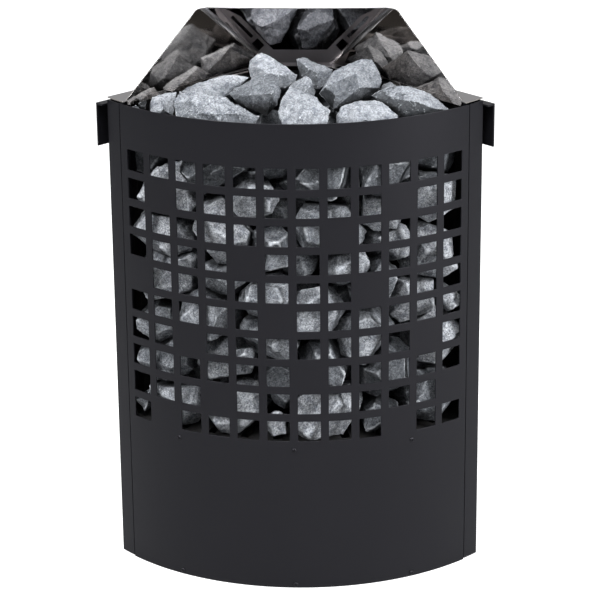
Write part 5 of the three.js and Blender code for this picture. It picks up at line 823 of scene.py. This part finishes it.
    [1518, -1433, 4372, 1738, -1806, 4499, 1475, -1389, 4106, 1174, -2049, 4209, 1746, -1859, 4169, 1544, -1530, 3963, 1428, -1612, 3915, 1432, -2041, 4032, 1597, -2086, 4141, 1649, -1925, 4565, 1282, -1936, 4627, 1516, -2145, 4455, 1356, -2133, 4492, 1041, -1833, 4240, 1164, -1438, 4135, 1125, -1498, 4090, 1247, -1482, 4436, 1170, -1799, 4585],
    [-709, -1257, 2248, -1028, -1642, 2545, -849, -1600, 2331, -887, -1562, 2262, -602, -1248, 2361, -626, -1446, 2472, -1009, -1616, 2609, -1054, -1499, 2666, -666, -1445, 2563, -767, -1144, 2704, -645, -1112, 2421, -819, -1071, 2279, -789, -1022, 2345, -1279, -1263, 2541, -990, -1003, 2598, -995, -990, 2562, -1306, -1264, 2493, -1193, -1531, 2381, -1162, -1511, 2314, -1240, -1212, 2345, -1278, -1193, 2410],
    [-1044, -1287, 2723, -802, -1690, 2739, -662, -1620, 2739, -643, -1517, 2658, -620, -1388, 3195, -648, -1539, 3085, -570, -1124, 3095, -568, -1113, 3052, -689, -1081, 3142, -703, -1032, 2990, -684, -1035, 2970, -770, -1535, 2618, -692, -1493, 2617, -1028, -1289, 2709, -800, -1217, 2693, -778, -1212, 3223, -757, -1316, 3243, -931, -1504, 3101, -823, -1696, 2763, -831, -1650, 2999, -1080, -1356, 2797, -1026, -1393, 3020],
    [-1151, -1967, 4736, -1608, -1919, 4111, -1112, -2307, 4199, -1481, -1904, 4637, -1705, -1980, 4289, -1684, -2017, 4322, -1574, -1829, 4104, -1644, -1674, 4389, -869, -1963, 4413, -1101, -2301, 4179, -1007, -1693, 4498, -1177, -1579, 4370, -860, -1848, 4372, -1092, -1712, 4117, -986, -1799, 4131],
    [97, -1634, 4125, 685, -1799, 4217, 32, -1799, 4493, 135, -2001, 4310, 508, -1363, 4685, 738, -1477, 4612, 744, -1525, 4604, 408, -1948, 4634, 274, -1821, 4684, 87, -1599, 4131, 16, -1652, 4425, 602, -1933, 4164, 391, -2045, 4485, 185, -2032, 4314, 432, -1234, 4578, 394, -1244, 4554, 282, -1386, 4230, 663, -1305, 4444, 638, -1361, 4317],
    [904, -829, 5053, 545, -1074, 4570, 961, -901, 4955, 876, -1199, 4848, 864, -1162, 4723, 457, -809, 4526, 515, -939, 4484, 900, -900, 4586, 909, -869, 4602, 400, -736, 4656, 404, -943, 4970, 412, -967, 4975, 512, -1140, 4822, 755, -1049, 5053, 816, -1206, 4900, 809, -722, 5020, 561, -680, 4967, 524, -567, 4711, 591, -552, 4664, 644, -559, 4672],
    [735, -2312, 4392, 1153, -2075, 4102, 716, -2381, 4148, 958, -1869, 4113, 724, -1980, 4044, 709, -1981, 4058, 1103, -2266, 4049, 731, -2390, 4137, 852, -2265, 4003, 898, -2360, 4425, 970, -2441, 4245, 1106, -2368, 4177, 738, -2099, 4439, 722, -1911, 4233, 968, -1796, 4301, 955, -2013, 4516, 1068, -2118, 4523, 1208, -2027, 4341, 1205, -2091, 4398],
    [10, -2200, 4320, 664, -2343, 4931, -147, -2136, 4667, -163, -2322, 4566, 647, -2327, 4950, 401, -1951, 4863, 262, -2445, 5052, 103, -2148, 4978, 399, -1893, 4729, 603, -2089, 4509, 579, -2124, 4459, 28, -2149, 4320, -14, -2001, 4508, 388, -2592, 4453, 463, -2587, 4471, 572, -2563, 4817, 241, -2576, 4969, 41, -2601, 4706],
    [704, -1304, 4135, 1129, -1410, 4011, 780, -1267, 4059, 1324, -1239, 4220, 863, -1166, 4043, 869, -953, 4260, 1022, -937, 4298, 1214, -1130, 4130, 1102, -1233, 4009, 713, -1007, 4436, 641, -1246, 4531, 622, -1162, 4408, 1096, -1564, 4172, 1168, -1587, 4404, 755, -1530, 4481, 770, -1523, 4306, 966, -1570, 4633, 1002, -1574, 4625, 1258, -1497, 4489, 1175, -1477, 4626, 1344, -1259, 4309, 790, -1027, 4612, 1101, -1237, 4717, 912, -1262, 4743, 766, -1145, 4683, 1064, -979, 4566, 1149, -1064, 4611],
    [457, -1511, 4918, -250, -1534, 4741, 49, -1248, 5052, 435, -1440, 5011, 388, -1451, 5052, -249, -1582, 4839, -106, -1479, 5052, 82, -1809, 5052, 294, -1794, 4830, -69, -1834, 4877, 77, -1842, 5026, -91, -1285, 4718, 280, -1227, 4886, 59, -1209, 5005, 177, -1770, 4593, 304, -1392, 4541, -77, -1669, 4547, 1, -1784, 4576, 255, -1316, 4523, 148, -1324, 4512],
    [390, -718, 5022, -134, -498, 4699, -40, -725, 4634, 342, -902, 4860, 339, -849, 4995, 443, -682, 4826, 394, -827, 4753, 263, -723, 4614, -123, -480, 4703, 295, -443, 4683, 316, -433, 4708, -104, -803, 4748, 71, -933, 4920, 85, -903, 4988, -80, -610, 5053, -180, -644, 4809, -21, -411, 4891, 216, -390, 4880, 280, -579, 5053],
    [17, -1875, 4727, -342, -1490, 4908, 2, -1892, 4802, -245, -1668, 5017, -142, -2058, 4885, -577, -1450, 4646, -530, -1494, 4834, -609, -1649, 4517, -569, -1964, 4683, -149, -2065, 4614, -70, -1975, 4581, -372, -2016, 4526, -233, -1445, 4507, -292, -1389, 4555, -444, -1399, 4520, -346, -1627, 4301, -419, -1609, 4308, -389, -1630, 4292, -317, -1822, 5048, -195, -2044, 4926, -493, -1847, 4986, -516, -1969, 4896],
    [1625, -2033, 4961, 1249, -1494, 4652, 1142, -1889, 4647, 1104, -1807, 4719, 1367, -1422, 4857, 1516, -1957, 5052, 1322, -2012, 5027, 1175, -1830, 4940, 1587, -2093, 4908, 1552, -2035, 4639, 1366, -2115, 4920, 1285, -2074, 4708, 1746, -1668, 4793, 1474, -1400, 4874, 1576, -1503, 4927, 1637, -1769, 4499, 1716, -1631, 4587, 1551, -1467, 4555, 1406, -1515, 4463, 1406, -1564, 4446],
    [-447, -2340, 4731, -866, -2015, 4365, -787, -1996, 4403, -549, -2051, 5051, -475, -2028, 4905, -677, -1778, 4742, -1115, -2379, 4637, -990, -2195, 4362, -983, -2246, 4386, -1062, -2134, 5052, -1227, -2185, 4648, -1223, -2251, 4687, -602, -2355, 5048, -745, -2412, 5048, -775, -2511, 4869, -478, -2449, 4755, -707, -1927, 5053, -1050, -2063, 5053, -723, -1757, 4768, -975, -1799, 4674, -1137, -1919, 4764],
    [-76, -2526, 5053, -121, -2562, 5053, -444, -2262, 4722, 20, -2500, 4837, 40, -2455, 4793, -149, -2616, 4914, -333, -2606, 4839, -370, -2257, 4642, -89, -2359, 4637, -261, -2398, 4624, -74, -2280, 5052, -352, -2063, 4907, -371, -2185, 5052, 2, -2155, 4883, -297, -2520, 5053, -401, -2277, 5052, -401, -2569, 4885, -477, -2426, 4866, -256, -2033, 4837, -59, -2082, 4822, -183, -2082, 4677, -148, -2090, 4677],
    [952, -1627, 4951, 458, -1907, 4615, 746, -1908, 5036, 1094, -1651, 4785, 788, -1484, 4922, 470, -1932, 4621, 519, -2031, 4786, 699, -2028, 4641, 847, -1995, 4628, 985, -1923, 4769, 1105, -1721, 4738, 505, -1995, 4933, 653, -1928, 5046, 783, -1609, 4527, 1003, -1690, 4543, 1051, -1661, 4587, 1039, -1551, 4677, 819, -1402, 4720, 734, -1413, 4678, 409, -1795, 4718, 551, -1502, 4771, 545, -1570, 4957, 429, -1828, 4979, 456, -1781, 5017],
    [-459, -1307, 4513, -88, -881, 4891, -48, -1114, 4700, -682, -1205, 4572, -743, -938, 4625, -446, -1325, 4532, -110, -1199, 4701, -579, -719, 4628, -141, -887, 4518, -141, -695, 4840, -404, -1307, 4899, -367, -1022, 5052, -635, -1341, 4770, -585, -1375, 4778, -605, -780, 5052, -724, -932, 4922, -573, -737, 5024, -265, -649, 4870, -505, -631, 4807],
    [-998, -1790, 4656, -1614, -1529, 5002, -1743, -1659, 4702, -1606, -1813, 5009, -1210, -1833, 5053, -1480, -1932, 5025, -1099, -1931, 4807, -1382, -2005, 4833, -1084, -1703, 4528, -1733, -1648, 4476, -1609, -1763, 4480, -1158, -1522, 5053, -1033, -1434, 4838, -1451, -1366, 5017, -1355, -1270, 4810, -1122, -1316, 4724, -1542, -1457, 4502, -1170, -1429, 4536],
    [-1032, -1767, 4598, -721, -1001, 4717, -777, -1806, 4528, -691, -1081, 4867, -595, -1666, 4891, -572, -1638, 4871, -696, -1289, 4304, -690, -1684, 4338, -623, -1613, 4349, -1152, -1072, 4836, -1064, -1722, 4558, -931, -1534, 4267, -926, -1638, 4928, -734, -1624, 4981, -1088, -1126, 4940, -863, -1153, 4997, -886, -965, 4645, -1127, -1042, 4780, -899, -1222, 4249],
    [630, -2264, 4959, 1189, -2001, 4581, 969, -2044, 5052, 808, -1954, 4970, 810, -1925, 4917, 1204, -1938, 4759, 880, -2471, 4821, 638, -2285, 4966, 684, -2300, 4988, 766, -2513, 4581, 615, -2168, 4717, 697, -2012, 4698, 905, -2061, 4494, 873, -2347, 4421, 737, -2426, 4515, 1240, -2316, 4801, 1233, -2085, 4573, 1018, -2412, 4444, 1020, -2047, 5034, 1233, -1970, 4802, 1278, -2258, 4824, 1308, -2127, 4763],
    [1659, -1667, 3185, 1545, -1702, 3170, 1604, -1835, 3307, 1569, -1835, 3293, 1635, -1852, 2956, 1508, -1840, 3061, 1524, -1722, 3092, 1676, -1664, 3172, 1630, -1705, 3013, 1670, -1773, 2957, 1671, -1899, 3287, 1793, -1792, 3145, 1805, -1849, 3058, 1663, -1949, 3250, 1530, -1961, 3176, 1534, -1961, 3193, 1686, -1944, 3010, 1762, -1937, 3054],
    [-88, -2559, 1798, -67, -2416, 1918, -117, -2454, 1767, -99, -2354, 1861, -98, -2574, 1799, -235, -2582, 2002, -126, -2415, 2011, -222, -2536, 2031, -361, -2456, 1864, -286, -2588, 1932, -255, -2531, 1746, -222, -2585, 1767, -351, -2434, 1883, -253, -2417, 2018, -161, -2327, 1913, -176, -2367, 2008],
    [-1614, -1792, 2032, -1586, -1659, 1902, -1536, -1807, 1951, -1521, -1704, 1859, -1628, -1803, 2035, -1816, -1757, 1885, -1668, -1635, 1832, -1798, -1717, 1850, -1694, -1906, 1767, -1795, -1842, 1882, -1628, -1935, 1927, -1664, -1912, 1978, -1687, -1881, 1751, -1724, -1717, 1752, -1561, -1704, 1784, -1653, -1659, 1768],
    [-421, -2431, 2775, -407, -2429, 2756, -522, -2511, 2782, -448, -2455, 2515, -428, -2507, 2631, -651, -2530, 2648, -535, -2554, 2718, -426, -2313, 2652, -498, -2283, 2704, -455, -2367, 2481, -471, -2363, 2487, -650, -2460, 2736, -600, -2275, 2679, -611, -2284, 2646, -666, -2409, 2603, -686, -2502, 2653],
]
order = sorted(range(len(BED)), key=lambda i: sum(BED[i][2::3]) / len(BED[i]))
tone_rng = np.random.default_rng(4)
tones = np.clip(tone_rng.beta(1.5, 1.25, len(BED)) + 0.10, 0.04, 0.98)
for i, b in enumerate(BED):                  # painted shade: the uppermost ones lie in the heap's shade and are darkened
    if max(b[2::3]) > 4920 and sum(b[1::3]) * 3 / len(b) > -2350:
        tones[i] *= 0.25
bed = []
for i, b in enumerate(BED):
    flat = np.array(b, float).reshape(-1, 3) / 10
    flat[:, 1] += AXIS_Y
    bed.append(rock([tuple(p) for p in flat * MM], 0.0018, 1000 + i * 13, 1.0))
GROUPS = 8
for g in range(GROUPS):
    mine = order[g * len(BED) // GROUPS:(g + 1) * len(BED) // GROUPS]
    parts = [bed[i] for i in mine]
    ob = stone_piece("bed_stones_%d" % (g + 1), parts, [tones[i] for i in mine], 1.0, [nook(q, [*bed, *heap.values()]) for q in parts])
    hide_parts("stone_bed")

# ------------------------------------------------------------------ CAD nodes that stay: finish and eased edges
def easing():
    """Joins a node's split corners and shades it smooth, without touching its mesh."""
    t = bpy.data.node_groups.new("easing", "GeometryNodeTree")
    t.interface.new_socket("Geometry", in_out="INPUT", socket_type="NodeSocketGeometry")
    t.interface.new_socket("Geometry", in_out="OUTPUT", socket_type="NodeSocketGeometry")
    a, z = t.nodes.new("NodeGroupInput"), t.nodes.new("NodeGroupOutput")
    weld, smooth = t.nodes.new("GeometryNodeMergeByDistance"), t.nodes.new("GeometryNodeSetShadeSmooth")
    weld.inputs["Distance"].default_value = 0.00001
    t.links.new(a.outputs[0], weld.inputs["Geometry"])
    t.links.new(weld.outputs["Geometry"], smooth.inputs[0])
    t.links.new(smooth.outputs[0], z.inputs[0])
    return t


EASING = easing()
FINISH = {
    "left_side_panel": BLACK, "right_side_panel": BLACK, "back_panel": BLACK, "left_wall_bracket": BLACK, "right_wall_bracket": BLACK,
    "stone_grate": SOOT, "base_plate": ZINC, "element_plate": ZINC, "left_heat_shield": SCORCHED, "right_heat_shield": SCORCHED, "back_heat_shield": SCORCHED,
    "terminal_block": CERAMIC, "link_bar": BRASS, "earth_stud": BRASS,
    "cable_gland_body": PLASTIC, "cable_gland_cap": PLASTIC, "gland_locknut": PLASTIC,
}
for i in (1, 2, 3):
    FINISH["heating_element_%d" % i] = SHEATH
    FINISH["lead_wire_%d" % i] = SLEEVE
for i in range(1, 7):
    FINISH["element_nut_%d" % i] = ZINC
for i in (1, 2):
    FINISH["terminal_block_screw_%d" % i] = ZINC
EASE = {"left_side_panel": 0.3, "right_side_panel": 0.3, "back_panel": 0.3, "left_wall_bracket": 0.35, "right_wall_bracket": 0.35,
        "stone_grate": 0.25, "base_plate": 0.25, "element_plate": 0.3, "left_heat_shield": 0.2, "right_heat_shield": 0.2, "back_heat_shield": 0.2,
        "terminal_block": 0.5, "link_bar": 0.25, "earth_stud": 0.3, "cable_gland_body": 0.3, "cable_gland_cap": 0.4, "gland_locknut": 0.4}
for name, material in FINISH.items():
    ob = NODES[name]
    if not ob.material_slots:
        ob.data.materials.append(material)
    for s in ob.material_slots:
        s.material = material
    g = ob.modifiers.new("easing", "NODES")
    g.node_group = EASING
    b = ob.modifiers.new("edges", "BEVEL")
    b.width, b.segments, b.limit_method, b.angle_limit = EASE.get(name, 0.2) * MM, 2, "ANGLE", 38 * RAD
    weighted(ob)

# ------------------------------------------------------------------ stage
def lit_white(nt, dim):
    """A background that is plain white to the eye and lights the object only dimly."""
    path = nt.nodes.new("ShaderNodeLightPath")
    m = nt.nodes.new("ShaderNodeMix")
    m.data_type = "FLOAT"
    m.inputs["A"].default_value, m.inputs["B"].default_value = dim, 1.0
    nt.links.new(path.outputs["Is Camera Ray"], m.inputs["Factor"])
    return m.outputs["Result"]


def stage():
    t = Tree("floor_white")
    t.set(Base_Color=t.mix(t.noise(700, 2), (0.35, 0.35, 0.35), (0.39, 0.39, 0.39)), Roughness=t.span(t.noise(400, 2), 0.3, 0.7, 0.75, 0.85))
    t.bsdf.inputs["Specular IOR Level"].default_value = 0.1
    t.bsdf.inputs["Emission Color"].default_value = (1, 1, 1, 1)
    t.put(t.bsdf.inputs["Emission Strength"], lit_white(t.nt, 0.0))
    bm = bmesh.new()
    r = 14.0
    rim = [bm.verts.new((r * math.cos(2 * math.pi * i / 64), r * math.sin(2 * math.pi * i / 64), -0.0006)) for i in range(64)]
    bm.faces.new(rim)
    me = bpy.data.meshes.new("floor")
    bm.to_mesh(me)
    bm.free()
    me.materials.append(t.mat)
    ob = bpy.data.objects.new("floor", me)
    scene.collection.objects.link(ob)


def area(name, place, aim, size, watts, colour=(1, 1, 1)):
    data = bpy.data.lights.new(name, "AREA")
    data.shape, data.size, data.size_y = "RECTANGLE", size[0], size[1]
    data.energy, data.color = watts, colour
    ob = bpy.data.objects.new(name, data)
    scene.collection.objects.link(ob)
    d = Vector(aim) - Vector(place)
    ob.matrix_world = Matrix.Translation(place) @ d.to_track_quat("-Z", "Y").to_matrix().to_4x4()
    return ob


stage()
world = bpy.data.worlds.new("studio")
scene.world = world
world.use_nodes = True
background = world.node_tree.nodes["Background"]
background.inputs["Color"].default_value = (1, 1, 1, 1)
world.node_tree.links.new(lit_white(world.node_tree, 0.06), background.inputs["Strength"])
COOL = (0.955, 0.98, 1.0)
area("left", (-1.7, -1.20, 2.0), (0, 0, 0.33), (0.9, 1.2), 57, COOL)
area("right", (2.15, -1.15, 1.32), (0, 0, 0.33), (0.9, 1.3), 83, COOL)
area("top", (-0.1, -0.85, 2.35), (0, -0.02, 0.5), (1.1, 0.8), 54, COOL)
area("front", (-0.2, -3.0, 1.9), (0, 0, 0.33), (1.4, 0.8), 10, COOL)
area("back_card", (0, 2.6, 1.35), (0, 0, 0.5), (3.4, 1.5), 6.4)
area("sky_card", (0, 0.95, 2.5), (0, 0.3, 0.5), (2.0, 1.2), 4.5)
area("back_left", (-2.4, 1.9, 1.7), (0, 0, 0.35), (1.9, 1.9), 24, COOL)
area("back_right", (2.4, 1.9, 1.7), (0, 0, 0.35), (1.9, 1.9), 24, COOL)
scene.view_settings.view_transform = "Standard"
scene.view_settings.look = "None"
scene.view_settings.exposure = 0.0
scene.view_settings.gamma = 1.0
